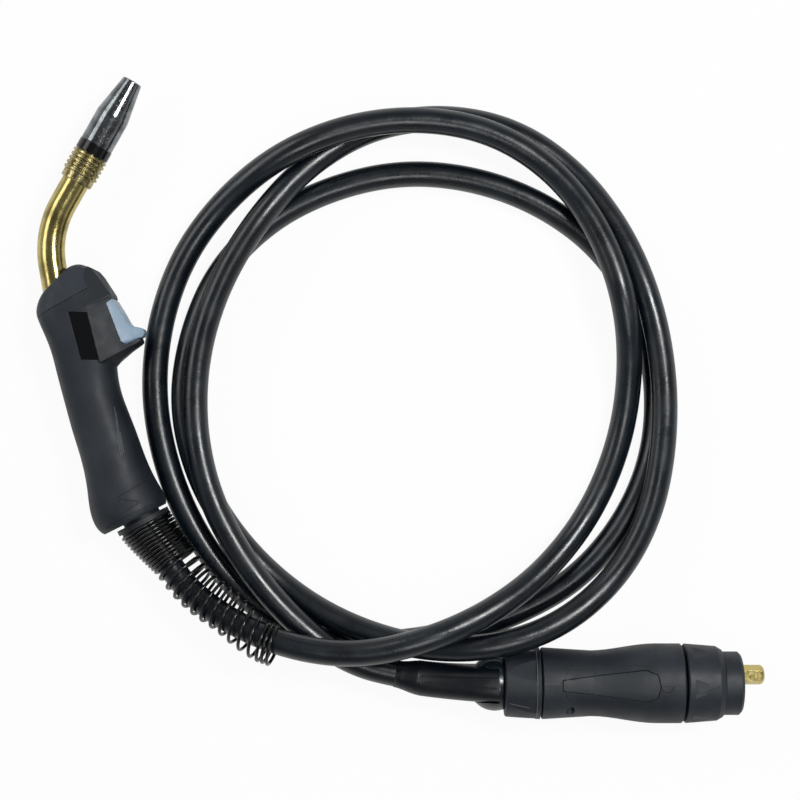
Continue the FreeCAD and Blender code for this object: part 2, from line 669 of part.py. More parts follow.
def make_nozzle_group():
    """Gas nozzle, insulator, head, gas diffuser, tip holder and contact tip."""
    taper_from = NOZZLE_LENGTH - NOZZLE_PARALLEL
    base_bore = NOZZLE_BASE_RADIUS - NOZZLE_WALL
    nozzle = turned([
        (0, NOZZLE_MOUTH_BORE),
        (0, NOZZLE_TIP_RADIUS - NOZZLE_EDGE),
        (NOZZLE_EDGE, NOZZLE_TIP_RADIUS),
        (taper_from, NOZZLE_BASE_RADIUS),
        (NOZZLE_LENGTH, NOZZLE_BASE_RADIUS),
        (NOZZLE_LENGTH, base_bore),
        (taper_from, base_bore),
        (NOZZLE_MOUTH_LAND, NOZZLE_MOUTH_BORE),
    ], NOZZLE_MOUTH, BACK)
    save("gas_nozzle", nozzle)
    print("nozzle axis", NOZZLE_DIRECTION)
    say("nozzle mouth", NOZZLE_MOUTH)

    insulator_base = NOZZLE_MOUTH + BACK * NOZZLE_LENGTH
    insulator = turned([
        (-9.0, HEAD_SPIGOT_RADIUS + FIT),
        (-9.0, base_bore),
        (0, base_bore),
        (0, INSULATOR_RADIUS - 0.4),
        (0.4, INSULATOR_RADIUS),
        (INSULATOR_LENGTH - 0.4, INSULATOR_RADIUS),
        (INSULATOR_LENGTH, INSULATOR_RADIUS - 0.4),
        (INSULATOR_LENGTH, HEAD_SPIGOT_RADIUS + FIT),
    ], insulator_base, BACK)
    save("nozzle_insulator", insulator)

    head_base = insulator_base + BACK * INSULATOR_LENGTH
    profile = [(-HEAD_SPIGOT_LENGTH, DIFFUSER_RADIUS), (-HEAD_SPIGOT_LENGTH, HEAD_SPIGOT_RADIUS)]
    profile += [(SLIDE, HEAD_SPIGOT_RADIUS), (SLIDE, HEAD_RADIUS - HEAD_RIB_DEPTH)]
    for k in range(HEAD_RIBS):
        s = SLIDE + k * HEAD_RIB_PITCH
        profile += [(s + 0.5, HEAD_RADIUS), (s + HEAD_RIB_PITCH - 1.1, HEAD_RADIUS)]
        profile += [(s + HEAD_RIB_PITCH - 0.5, HEAD_RADIUS - HEAD_RIB_DEPTH)]
        profile += [(s + HEAD_RIB_PITCH, HEAD_RADIUS - HEAD_RIB_DEPTH)]
    ribbed = SLIDE + HEAD_RIBS * HEAD_RIB_PITCH
    profile += [(ribbed, HEAD_COLLAR_RADIUS), (HEAD_LENGTH - 0.6, HEAD_COLLAR_RADIUS)]
    profile += [(HEAD_LENGTH, HEAD_COLLAR_RADIUS - 0.6), (HEAD_LENGTH, HOLDER_RADIUS)]
    profile += [(2.0, HOLDER_RADIUS), (2.0, DIFFUSER_RADIUS)]
    save("neck_head", turned(profile, head_base, BACK))

    diffuser = turned([
        (2.0, HOLDER_RADIUS + FIT),
        (2.0, DIFFUSER_RADIUS),
        (2.0 - DIFFUSER_LENGTH - 3.0, DIFFUSER_RADIUS),
        (2.0 - DIFFUSER_LENGTH - 3.0, HOLDER_RADIUS + FIT),
    ], head_base, BACK)
    side = unit(BACK.cross(UP))
    for k in range(DIFFUSER_HOLES):
        angle = 2 * math.pi * k / DIFFUSER_HOLES
        out = side * math.cos(angle) + BACK.cross(side) * math.sin(angle)
        centre = head_base + NOZZLE_DIRECTION * (HEAD_SPIGOT_LENGTH + 1.0)
        diffuser = diffuser.cut(rod(centre, out, DIFFUSER_HOLE_RADIUS, DIFFUSER_RADIUS + 1))
    save("gas_diffuser", diffuser)

    holder_tip = head_base + NOZZLE_DIRECTION * (HOLDER_LENGTH - HEAD_LENGTH + 16.0)
    holder_length = (holder_tip - (head_base + BACK * HEAD_LENGTH)).Length
    holder = turned([
        (0, TIP_STEM_RADIUS),
        (0, HOLDER_RADIUS - 0.5),
        (0.5, HOLDER_RADIUS),
        (holder_length, HOLDER_RADIUS),
        (holder_length, LINER_RADIUS + FIT),
        (TIP_STEM_LENGTH, LINER_RADIUS + FIT),
        (TIP_STEM_LENGTH, TIP_STEM_RADIUS),
    ], holder_tip, BACK)
    save("tip_holder", holder)

    tip_front = NOZZLE_MOUTH + BACK * TIP_RECESS
    tip_length = (tip_front - holder_tip).Length
    tip = turned([
        (0, WIRE_BORE_RADIUS),
        (0, TIP_NOSE_RADIUS),
        (3.0, TIP_RADIUS),
        (tip_length, TIP_RADIUS),
        (tip_length, TIP_STEM_RADIUS),
        (tip_length + TIP_STEM_LENGTH, TIP_STEM_RADIUS),
        (tip_length + TIP_STEM_LENGTH, WIRE_BORE_RADIUS),
    ], tip_front, BACK)
    save("contact_tip", tip)
    say("contact tip front", tip_front)
    print("contact tip length", tip_length + TIP_STEM_LENGTH)


def make_neck_group():
    """Swan neck with its inner tubes, union nut and socket in the handle."""
    tube = swept(NECK_EDGES, NECK_RADIUS)
    bore = swept(NECK_EDGES, NECK_RADIUS - NECK_WALL)
    core = swept(NECK_EDGES, NECK_CORE_RADIUS)
    core_bore = swept(NECK_EDGES, NECK_CORE_BORE)
    liner = swept(NECK_EDGES, LINER_RADIUS)
    liner_bore = swept(NECK_EDGES, LINER_BORE)
    save("swan_neck", tube.cut(bore))
    save("neck_insulation", bore.cut(core))
    save("neck_core", core.cut(core_bore))
    save("wire_liner", liner.cut(liner_bore))

    nut_base = NECK_END - NECK_OUT * (NECK_NUT_LENGTH + 2.0)
    nut = hexagon(nut_base, NECK_OUT, NECK_NUT_ACROSS, NECK_NUT_LENGTH)
    save("neck_nut", nut.cut(rod(nut_base - NECK_OUT, NECK_OUT, NECK_RADIUS, NECK_NUT_LENGTH + 2)))

    socket = rod(NECK_END, NECK_OUT, SOCKET_BODY_RADIUS, SOCKET_LENGTH)
    collar = rod(NECK_END - NECK_OUT * 2.0, NECK_OUT, SOCKET_RADIUS, 2.0 + SOCKET_FLANGE)
    socket = socket.fuse(collar.cut(rod(NECK_END - NECK_OUT * 3.0, NECK_OUT, NECK_RADIUS, 3.0)))
    socket = socket.cut(rod(NECK_END, NECK_OUT, LINER_RADIUS + FIT, SOCKET_LENGTH / 2))
    save("neck_socket", socket.removeSplitter())
    return socket


def bosses(upper):
    """Screw pillars inside one half of the handle."""
    made = []
    for place in SCREW_PLACES:
        if upper:
            made.append(rod(plan(place), UP, BOSS_RADIUS, 40.0))
        else:
            made.append(rod(plan(place, AXIS_Z - 40.0), UP, BOSS_RADIUS, 40.0))
    return made


def planed(block, corners, drop=0.0, reach=200.0):
    """A block cut down to a plane through three corners, and alike below the mid plane."""
    a, b, c = [plan(place, AXIS_Z + height - drop) for place, height in corners]
    normal = unit((b - a).cross(c - a))
    if normal.z < 0:
        normal = normal * -1
    lid = rod((a + b + c) * (1 / 3), normal, reach, reach)
    return block.cut(lid).cut(lid.mirror(plan((0, 0)), UP))


def strips(lines, width):
    """Thin upright walls along lines of plan points, as one block."""
    walls = []
    for line in lines:
        for a, b in zip(line, line[1:]):
            along = unit(plan(b) - plan(a)) * (width / 2)
            across = along.cross(UP)
            start = plan(a) - along
            finish = plan(b) + along
            corners = (start + across, finish + across, finish - across, start - across)
            walls.append(prism([(p.x, p.y) for p in corners], AXIS_Z - 40.0, AXIS_Z + 40.0))
    return walls[0].multiFuse(walls[1:])


def make_frame_block(form):
    """The trigger frame before its slots, and the full height of its front arm."""
    cheeks = prism(CHEEK_OUTLINE, AXIS_Z - CHEEK_HALF, AXIS_Z + CHEEK_HALF)
    cheeks = planed(planed(cheeks, PANEL_FACE), HEEL_FACE)
    arm_region = prism(ARM_OUTLINE, AXIS_Z - CHEEK_HALF, AXIS_Z + CHEEK_HALF)
    arm = planed(planed(arm_region, FRONT_FACE), ARM_SIDE_FACE)
    heel = prism(HEEL_OUTLINE, AXIS_Z - CHEEK_HALF, AXIS_Z + CHEEK_HALF).common(form)
    return cheeks.fuse(arm).fuse(heel).removeSplitter(), arm_region


def make_handle_group(socket, lead):
    """Two shells, nose cap, trigger frame, labels and screws."""
    form = planed(handle_form(0), FRONT_FACE)
    hollow = planed(handle_form(HANDLE_WALL, HANDLE_CAVITY_FROM, HANDLE_CAVITY_TO), FRONT_FACE, HANDLE_WALL)
    grooves = strips(REAR_GROOVES, GROOVE_WIDTH).cut(handle_form(GROOVE_DEPTH))
    nose_area = prism(NOSE_SEAM + NOSE_FAR, -5.0, 60.0)
    neck_hole = swept(NECK_EDGES, NECK_RADIUS)
    frame_block, arm = make_frame_block(form)
    frame_region = prism(FRAME_REGION, AXIS_Z - 2 * CHEEK_HALF, AXIS_Z + 2 * CHEEK_HALF)

    nose = form.common(nose_area.translated(Vector(-SEAM * 0.7, SEAM * 0.7, 0)))
    nose = nose.cut(neck_hole).cut(arm)
    nut_base = NECK_END - NECK_OUT * (NECK_NUT_LENGTH + 2.0)
    nut_room = rod(nut_base, NECK_OUT, NECK_NUT_ACROSS / 2 / math.cos(math.pi / 6) + SLIDE, NECK_NUT_LENGTH)
    save("nose_cap", nose.cut(nut_room))

    label_pocket = prism(LABEL_OUTLINE, AXIS_Z + LABEL_LEVEL - LABEL_THICKNESS, 60.0)
    label_below = prism(LABEL_OUTLINE, -20.0, AXIS_Z - LABEL_LEVEL + LABEL_THICKNESS)
    rear_bore = rod(REAR_CENTRE - REAR_DIRECTION * 30.0, REAR_DIRECTION, GLAND_RADIUS, 60.0)
    for upper in (True, False):
        shell = form.common(half_space(upper)).cut(hollow).cut(nose_area).cut(frame_region)
        for boss in bosses(upper):
            pillar = boss.common(form).cut(nose_area).cut(frame_region)
            shell = shell.fuse(pillar)
        shell = shell.cut(rear_bore).cut(neck_hole).cut(nut_room).cut(socket).cut(lead).cut(grooves)
        if upper:
            shell = shell.cut(label_pocket)
            for place in SCREW_PLACES:
                shell = shell.cut(rod(plan(place), UP, SCREW_RADIUS, SCREW_REACH))
        else:
            shell = shell.cut(label_below)
            for place in SCREW_PLACES:
                shell = shell.cut(rod(plan(place, -5.0), UP, SCREW_RADIUS, 60.0))
                shell = shell.cut(rod(plan(place, -5.0), UP, SCREW_HEAD_RADIUS + SLIDE, 5.0 + SCREW_SINK))
        save("handle_upper_shell" if upper else "handle_lower_shell", shell.removeSplitter())

    screws = []
    for place in SCREW_PLACES:
        head = rod(plan(place, SCREW_SINK - SCREW_HEAD_HEIGHT), UP, SCREW_HEAD_RADIUS, SCREW_HEAD_HEIGHT)
        shank = rod(plan(place, SCREW_SINK), UP, SCREW_RADIUS, AXIS_Z + SCREW_REACH - SCREW_SINK)
        recess = hexagon(plan(place, SCREW_SINK - SCREW_HEAD_HEIGHT), UP, 2.5, 1.2)
        screws.append(head.fuse(shank).cut(recess))
    save("handle_screws", Part.makeCompound(screws))

    inset = []
    middle = Vector(0, 0, 0)
    for p in LABEL_OUTLINE:
        middle += plan(p) * (1 / len(LABEL_OUTLINE))
    for p in LABEL_OUTLINE:
        away = plan(p) - middle
        inset.append(plan(p) - unit(away) * LABEL_MARGIN)
    inset = [(p.x, p.y) for p in inset]
    top = AXIS_Z + LABEL_LEVEL
    low = AXIS_Z - LABEL_LEVEL
    save("label_plate_upper", prism(inset, top - LABEL_THICKNESS, top).cut(frame_region))
    save("label_plate_lower", prism(inset, low, low + LABEL_THICKNESS).cut(frame_region))
    return frame_block


def grown_prism(outline, half, grow):
    """A plan outline thickened about the mid plane and grown all round."""
    points = [plan(p, AXIS_Z - half) for p in outline]
    face = Part.Face(Part.makePolygon(points + points[:1]))
    if grow:
        face = face.makeOffset2D(grow)
    return face.extrude(UP * (2 * half))


def trigger_form(half, grow, drop, angle):
    """The trigger's outer form at a turn: a core between the cheeks and a tall face in their opening."""
    face = grown_prism(TRIGGER_OUTLINE, CHEEK_HALF, grow).common(grown_prism(TRIGGER_FACE, CHEEK_HALF, grow))
    core = grown_prism(TRIGGER_OUTLINE, half, grow)
    block = planed(core.fuse(face), PANEL_FACE, drop)
    block.rotate(TRIGGER_PIVOT, UP, angle)
    return block


def switch_block(width, height, depth, behind=0.0):
    """A box standing behind the switch's face along its own direction."""
    across = UP.cross(SWITCH_DIRECTION)
    back = SWITCH_FACE - SWITCH_DIRECTION * behind
    corner = back - across * (width / 2) - UP * (height / 2)
    points = [corner, corner + across * width]
    points += [corner + across * width + UP * height, corner + UP * height]
    return Part.Face(Part.makePolygon(points + points[:1])).extrude(SWITCH_DIRECTION * depth)


def make_trigger_group(frame_block):
    """Trigger frame, trigger, pin, switch and its button."""
    frame = frame_block
    for angle in (0.0, -TRIGGER_TRAVEL / 2, -TRIGGER_TRAVEL):
        frame = frame.cut(trigger_form(TRIGGER_HALF + FRAME_SLOT_GAP, SLIDE, CHEEK_WALL, angle))
    block = switch_block(SWITCH_WIDTH, SWITCH_HEIGHT, SWITCH_DEPTH, SWITCH_DEPTH)
    frame = frame.cut(switch_block(SWITCH_WIDTH, SWITCH_HEIGHT, SWITCH_DEPTH + 6.0, SWITCH_DEPTH))
    floor = SWITCH_HEIGHT / 2 + FRAME_FLOOR
    ceiling = CHEEK_HALF - FRAME_ROOF
    frame = frame.cut(prism(FRAME_POCKET, AXIS_Z + floor, AXIS_Z + ceiling))
    frame = frame.cut(prism(FRAME_POCKET, AXIS_Z - ceiling, AXIS_Z - floor))
    tunnel = SWITCH_FACE - SWITCH_DIRECTION * (SWITCH_DEPTH + 30.0)
    for sign in (1, -1):
        lane = UP * (sign * SWITCH_LEAD_SPREAD)
        frame = frame.cut(rod(tunnel + lane, SWITCH_DIRECTION, SWITCH_LEAD_RADIUS + SLIDE, 30.0))
    pin_base = TRIGGER_PIVOT - UP * TRIGGER_PIN_BELOW
    pin_length = TRIGGER_PIN_ABOVE + TRIGGER_PIN_BELOW
    frame = frame.cut(rod(pin_base - UP * AXIS_Z, UP, TRIGGER_PIN_RADIUS, AXIS_Z + pin_length))
    save("trigger_frame", frame.removeSplitter())

    button_base = SWITCH_FACE - SWITCH_DIRECTION * (BUTTON_SHANK + SWITCH_TRAVEL)
    well = rod(button_base, SWITCH_DIRECTION, BUTTON_RADIUS + FIT, BUTTON_SHANK + SWITCH_TRAVEL)
    save("micro_switch", block.cut(well))
    button = rod(SWITCH_FACE - SWITCH_DIRECTION * BUTTON_SHANK, SWITCH_DIRECTION,
                 BUTTON_RADIUS, BUTTON_SHANK + BUTTON_PROUD)
    save("switch_button", button)
    print("button direction", SWITCH_DIRECTION, "travel", SWITCH_TRAVEL)
    say("trigger pivot", TRIGGER_PIVOT)

    body = trigger_form(TRIGGER_HALF, 0, CHEEK_WALL + FRAME_SLOT_GAP, 0)
    room = switch_block(60.0, 2 * (TRIGGER_HALF - TRIGGER_SKIN), 30.0, 30.0 - BUTTON_PROUD - BUTTON_GAP)
    eye = rod(TRIGGER_PIVOT - UP * TRIGGER_HALF, UP, TRIGGER_EYE_RADIUS, 2 * TRIGGER_HALF)
    body = body.cut(room.cut(eye))
    body = body.cut(rod(pin_base, UP, TRIGGER_PIN_RADIUS + FIT, pin_length))
    save("trigger", body.removeSplitter())
    save("trigger_pin", rod(pin_base, UP, TRIGGER_PIN_RADIUS, pin_length))


def make_lead_group():
    """Power lead, the crimp on the cable's front end and the switch wires."""
    start = NECK_END + NECK_OUT * SOCKET_LENGTH
    leave = start + NECK_OUT * LEAD_LEAVES
    finish = JACKET_END - REAR_DIRECTION * CRIMP_AHEAD
    arrive = finish - REAR_DIRECTION * LEAD_ARRIVES
    points = [tuple(start), tuple(leave), tuple(plan(LEAD_MIDDLE)), tuple(arrive), tuple(finish)]
    edges, radii = rounded_route(points)
    lead = swept(edges, LEAD_RADIUS)
    save("power_lead", lead)
    print("power lead radii", [round(r, 1) for r in radii])

    crimp = rod(finish, REAR_DIRECTION, CRIMP_RADIUS, CRIMP_AHEAD + CRIMP_OVER)
    save("front_crimp", crimp.cut(rod(JACKET_END, REAR_DIRECTION, CABLE_RADIUS, CRIMP_OVER + 1.0)))

    behind = SWITCH_FACE - SWITCH_DIRECTION * SWITCH_DEPTH
    gland_front = REAR_CENTRE - REAR_DIRECTION * GLAND_LENGTH
    side = unit(UP.cross(REAR_DIRECTION))
    last = gland_front + side * SWITCH_LEAD_SIDE
    before = last - REAR_DIRECTION * 10.0
    wires = []
    for sign in (1, -1):
        z = AXIS_Z + sign * SWITCH_LEAD_SPREAD
        points = [(behind.x, behind.y, z)]
        away = behind - SWITCH_DIRECTION * 6.0
        points.append((away.x, away.y, z))
        points += [(x, y, z) for x, y in SWITCH_LEAD_ROUTE]
        points += [(before.x, before.y, z), (last.x, last.y, z)]
        edges, radii = rounded_route(points)
        wires.append(swept(edges, SWITCH_LEAD_RADIUS))
    save("switch_leads", Part.makeCompound(wires))
    return lead


def make_strain_relief():
    """Gland, spring carrier, lock ring and the long spring."""
    cable_bore = CABLE_RADIUS + CARRIER_BORE_GAP
    gland = pipe(REAR_CENTRE - REAR_DIRECTION * GLAND_LENGTH, REAR_DIRECTION,
                 GLAND_RADIUS, CABLE_RADIUS, GLAND_LENGTH)
    save("cable_gland", gland)
    ring = pipe(REAR_CENTRE, REAR_DIRECTION, RING_RADIUS, cable_bore, RING_LENGTH)
    save("rear_lock_ring", ring)
    carrier_from = REAR_CENTRE + REAR_DIRECTION * RING_LENGTH
    carrier = turned([
        (0, cable_bore),
        (0, SPRING_RADIUS - SPRING_WIRE / 2 - FIT),
        (CARRIER_SHOULDER, SPRING_RADIUS - SPRING_WIRE / 2 - FIT),
        (CARRIER_SHOULDER, CARRIER_RADIUS),
        (CARRIER_LENGTH, CARRIER_RADIUS - 1.0),
        (CARRIER_LENGTH, cable_bore),
    ], carrier_from, REAR_DIRECTION)
    save("spring_carrier", carrier)


ROUTE_EDGES, ROUTE_RADII = rounded_route(ROUTE)


def make_spring():
    """Strain relief spring: close turns, an open taper and close end turns."""
    samples, whole = places_along(ROUTE_EDGES, 1.0)
    skip = REAR_REACH + RING_LENGTH + SPRING_WIRE / 2
    close = SPRING_CLOSE_TURNS * SPRING_CLOSE_PITCH
    opened = SPRING_OPEN_TURNS * SPRING_OPEN_PITCH
    ending = SPRING_END_TURNS * SPRING_END_PITCH
    total = close + opened + ending
    turns = SPRING_CLOSE_TURNS + SPRING_OPEN_TURNS + SPRING_END_TURNS

    def frame_at(distance):
        """Centre and heading at a distance along the cable, past the ring."""
        exact = skip + distance
        i = int(exact)
        share = exact - i
        p = samples[i][1] * (1 - share) + samples[i + 1][1] * share
        t = unit(samples[i][2] * (1 - share) + samples[i + 1][2] * share)
        return p, t

    def place(turn):
        """A point of the wire's centre line."""
        if turn <= SPRING_CLOSE_TURNS:
            distance = turn * SPRING_CLOSE_PITCH
        elif turn <= SPRING_CLOSE_TURNS + SPRING_OPEN_TURNS:
            distance = close + (turn - SPRING_CLOSE_TURNS) * SPRING_OPEN_PITCH
        else:
            past = turn - SPRING_CLOSE_TURNS - SPRING_OPEN_TURNS
            distance = close + opened + past * SPRING_END_PITCH
        distance = min(max(distance, 0.0), total)
        centre, heading = frame_at(distance)
        side = unit(UP.cross(heading))
        rise = heading.cross(side)
        first = min(distance / close, 1.0)
        share = min(max((distance - close) / opened, 0.0), 1.0)
        radius = SPRING_RADIUS + (SPRING_WAIST_RADIUS - SPRING_RADIUS) * first
        radius += (SPRING_END_RADIUS - SPRING_WAIST_RADIUS) * share
        droop = max(share - SPRING_DROOP_FROM, 0.0) / (1.0 - SPRING_DROOP_FROM)
        bow = (radius - CABLE_RADIUS - SPRING_WIRE / 2 - SPRING_HUG_GAP) * (first ** 1.5 - 2 * droop)
        angle = 2 * math.pi * turn
        return centre + side * (bow + radius * math.cos(angle)) + rise * (radius * math.sin(angle))

    edges = coil_edges(place, turns)
    coil = swept(edges, SPRING_WIRE / 2)
    points, length = places_along(edges, SPRING_WIRE / 2)
    gap = least_gap([(d, p) for d, p, t in points], SPRING_WIRE, 4 * SPRING_WIRE)
    section_area = math.pi * (SPRING_WIRE / 2) ** 2
    print("spring length", round(length, 1), "least gap", round(gap, 3),
          "volume share", round(coil.Volume / (section_area * length), 4))
    nearest = min(min((p - q).Length for e, q, u in samples[20:170]) for d, p, t in points[::5])
    print("spring to cable", round(nearest - SPRING_WIRE / 2 - CABLE_RADIUS, 3))
    save("strain_relief_spring", coil)


def make_cable():
    """The cable's tube along the whole route."""
    tube = swept(ROUTE_EDGES, CABLE_RADIUS)
    points, length = places_along(ROUTE_EDGES, 3.0)
    gap = least_gap([(d, p) for d, p, t in points], 2 * CABLE_RADIUS, 6 * CABLE_RADIUS)
    area = math.pi * CABLE_RADIUS ** 2
    print("cable length", round(length, 1), "least radius", round(min(ROUTE_RADII), 1),
          "least gap", round(gap, 3), "volume share", round(tube.Volume / (area * length), 4))
    print("cable radii", [round(r) for r in ROUTE_RADII])
    save("cable", tube)
    return tube


def at_plug(x, dy=0.0, dz=0.0):
    """A point of the plug from its distance along X and its offsets from the axis."""
    return Vector(x, PLUG_Y + dy, PLUG_Z + dz)


def plug_turned(profile):
    """A body turned about the plug's axis from pairs of X and radius."""
    return turned(profile, at_plug(0), ALONG)


def housing_radius(x):
    """The housing's outer radius at a distance along the plug."""
    if x <= HOUSING_WAIST_X:
        share = (x - HOUSING_FROM_X) / (HOUSING_WAIST_X - HOUSING_FROM_X)
        return HOUSING_REAR_RADIUS + (HOUSING_WAIST_RADIUS - HOUSING_REAR_RADIUS) * share
    if x <= HOUSING_FLARE_X:
        share = (x - HOUSING_WAIST_X) / (HOUSING_FLARE_X - HOUSING_WAIST_X)
        blend = share * share * (3 - 2 * share)
        return HOUSING_WAIST_RADIUS + (HOUSING_FRONT_RADIUS - HOUSING_WAIST_RADIUS) * blend
    return HOUSING_FRONT_RADIUS


def ring_section(centre, wide, tall, power):
    """A closed rounded section square to the X axis."""
    points = []
    for k in range(ROUND_STEPS):
        angle = 2 * math.pi * k / ROUND_STEPS
        c = math.cos(angle)
        s = math.sin(angle)
        y = math.copysign(abs(c) ** (2 / power), c) * wide
        z = math.copysign(abs(s) ** (2 / power), s) * tall
        points.append(centre + Vector(0, y, z))
    curve = Part.BSplineCurve()
    curve.interpolate(Points=points, PeriodicFlag=True)
    return Part.Wire(curve.toShape())


def faceted(body, turn, distance, from_x, to_x):
    """A turned plug piece with flats cut round it, the first at a turn from the Y axis."""
    for k in range(FLATS):
        angle = math.radians(turn + 360 * k / FLATS)
        away = Vector(0, math.cos(angle), math.sin(angle))
        aside = ALONG.cross(away) * distance
        corner = at_plug(from_x) + away * distance - aside
        points = [corner, corner + aside * 2, corner + aside * 2 + away * distance, corner + away * distance]
        block = Part.Face(Part.makePolygon(points + points[:1])).extrude(ALONG * (to_x - from_x))
        body = body.cut(block)
    return body


def make_cable_end_group():
    """Bend sleeve, cable support, collar and the crimp on the cable's end."""
    samples, whole = places_along(ROUTE_EDGES, 0.5)
    stations = [(COLLAR_FROM_X - behind, wide, tall, power) for behind, wide, tall, power in SLEEVE_STATIONS]
    first_x = stations[0][0]
    tail = [p for d, p, t in samples if p.x > first_x - 2 and d > whole / 2 and p.y < PLUG_Y + 20]
    wires = []
    inner = []
    room = []
    for x, wide, tall, power in stations:
        centre = min(tail, key=lambda p: abs(p.x - x))
        centre = Vector(x, centre.y, centre.z)
        wires.append(ring_section(centre, wide, tall, power))
        inner.append(ring_section(centre, wide - SLEEVE_GROOVE, tall - SLEEVE_GROOVE, power))
        room.append(ring_section(centre, wide + SUPPORT_SLOT_GAP, tall + SUPPORT_SLOT_RISE, power))
    boot = Part.makeLoft(wires, True, False)
    tube = swept(ROUTE_EDGES[-7:], CABLE_RADIUS)
    ring = boot.cut(Part.makeLoft(inner, True, False))
    groove = Part.makeBox(stations[-1][0] - first_x, SLEEVE_GROOVE, 4 * BALL_SPHERE,
                          Vector(first_x + 1.0, PLUG_Y + SLEEVE_GROOVE_SHIFT, PLUG_Z - 2 * BALL_SPHERE))
    save("bend_sleeve", boot.cut(ring.common(groove)).cut(tube))

    ball = []
    lip_x = COLLAR_FROM_X + COLLAR_LIP
    for k in range(BALL_STEPS + 1):
        x = BALL_FROM_X + (COLLAR_FROM_X + 0.6 - BALL_FROM_X) * k / BALL_STEPS
        ball.append((x, math.sqrt(BALL_SPHERE ** 2 - (x - BALL_CENTRE_X) ** 2)))
    ball += [(lip_x, BALL_NECK_RADIUS), (lip_x, HOUSING_NECK_RADIUS)]
    ball += [(HOUSING_NECK_FROM_X, HOUSING_NECK_RADIUS), (HOUSING_NECK_FROM_X, CABLE_RADIUS + SLIDE)]
    ball += [(BALL_FROM_X, CABLE_RADIUS + SLIDE)]
    support = plug_turned(ball)
    save("cable_support", support.cut(Part.makeLoft(room, True, False)).cut(tube))

    collar = plug_turned([
        (COLLAR_FROM_X, BALL_NECK_RADIUS + FIT),
        (COLLAR_FROM_X, COLLAR_REAR_RADIUS - 0.8),
        (COLLAR_FROM_X + 0.8, COLLAR_REAR_RADIUS),
        (COLLAR_TO_X, COLLAR_FRONT_RADIUS),
        (COLLAR_TO_X, HOUSING_NECK_RADIUS),
        (lip_x, HOUSING_NECK_RADIUS),
        (lip_x, BALL_NECK_RADIUS + FIT),
    ])
    save("rear_collar", faceted(collar, 0, COLLAR_FLAT, COLLAR_FROM_X, COLLAR_TO_X - COLLAR_RIM))

    crimp_from = JACKET_END_X - REAR_CRIMP_OVER
    crimp = rod(at_plug(crimp_from), ALONG, REAR_CRIMP_RADIUS, REAR_CRIMP_OVER + REAR_CRIMP_AHEAD)
    crimp = crimp.cut(rod(at_plug(crimp_from - 1.0), ALONG, CABLE_RADIUS, REAR_CRIMP_OVER + 1.0))
    save("rear_crimp", crimp)
    block = rod(at_plug(POWER_BLOCK_FROM_X, POWER_BLOCK_SHIFT), ALONG, POWER_BLOCK_RADIUS, POWER_BLOCK_LENGTH)
    save("power_block", block)


def make_housing_form():
    """The housing's outer form, its hollow shell and the places where its radius changes."""
    stations = [HOUSING_FROM_X, HOUSING_WAIST_X]
    for k in range(1, HOUSING_STEPS + 1):
        stations.append(HOUSING_WAIST_X + HOUSING_FLARE_LENGTH * k / HOUSING_STEPS)
    wall_x = HOUSING_TO_X - HOUSING_WALL
    outer = [(HOUSING_NECK_FROM_X, HOUSING_NECK_RADIUS), (HOUSING_FROM_X, HOUSING_NECK_RADIUS)]
    outer += [(HOUSING_FROM_X, HOUSING_REAR_RADIUS - HOUSING_EDGE)]
    outer += [(HOUSING_FROM_X + HOUSING_EDGE, HOUSING_REAR_RADIUS)]
    outer += [(x, housing_radius(x)) for x in stations[1:]]
    outer += [(HOUSING_TO_X - HOUSING_EDGE, HOUSING_FRONT_RADIUS)]
    outer += [(HOUSING_TO_X, HOUSING_FRONT_RADIUS - HOUSING_EDGE)]
    inner = [(HOUSING_TO_X, BODY_STEM_RADIUS), (wall_x, BODY_STEM_RADIUS), (wall_x, BODY_FLANGE_RADIUS)]
    inner += [(x, min(housing_radius(x) - HOUSING_WALL, BODY_FLANGE_RADIUS)) for x in reversed(stations[1:])]
    inner += [(HOUSING_FROM_X + HOUSING_WALL, housing_radius(HOUSING_FROM_X + HOUSING_WALL) - HOUSING_WALL)]
    inner += [(HOUSING_FROM_X, HOUSING_BORE_RADIUS), (HOUSING_NECK_FROM_X, HOUSING_BORE_RADIUS)]
    form = plug_turned(outer + [(HOUSING_TO_X, 0), (HOUSING_NECK_FROM_X, 0)])
    return form, plug_turned(outer + inner), stations


def make_inlays(stations, grow):
    """Grip inlays on the housing's top and underside, as one shape, grown all round."""
    outline = [(HOUSING_FROM_X + x, PARTING_Y + w) for x, w in INLAY_OUTLINE]
    outline += [(HOUSING_FROM_X + x, PARTING_Y - w) for x, w in reversed(INLAY_OUTLINE) if w > 0]
    panel = grown_prism(outline, 2 * HOUSING_FRONT_RADIUS, grow)
    bands = []
    for proud, core in ((INLAY_PROUD, 1.0), (-INLAY_DEPTH, 0.5)):
        profile = [(x, housing_radius(x) + proud) for x in stations + [HOUSING_TO_X]]
        bands.append(plug_turned(profile + [(HOUSING_TO_X, core), (HOUSING_FROM_X, core)]))
    middle = Part.makeBox(400, 400, 2 * INLAY_LEVEL, Vector(0, PARTING_Y - 200, PLUG_Z - INLAY_LEVEL))
    return panel.common(bands[0]).cut(bands[1]).cut(middle)


def make_mark(stations):
    """Half rings pressed into the near half of the housing, above and below."""
    centre = Vector(HOUSING_FROM_X + MARK_AT, PARTING_Y, PLUG_Z - 2 * HOUSING_FRONT_RADIUS)
    ring = pipe(centre, UP, MARK_RADIUS, MARK_RADIUS - MARK_WIDTH, 4 * HOUSING_FRONT_RADIUS)
    profile = [(x, housing_radius(x) - MARK_DEPTH) for x in stations + [HOUSING_TO_X]]
    return ring.cut(plug_turned(profile + [(HOUSING_TO_X, 0.0), (HOUSING_FROM_X, 0.0)]))


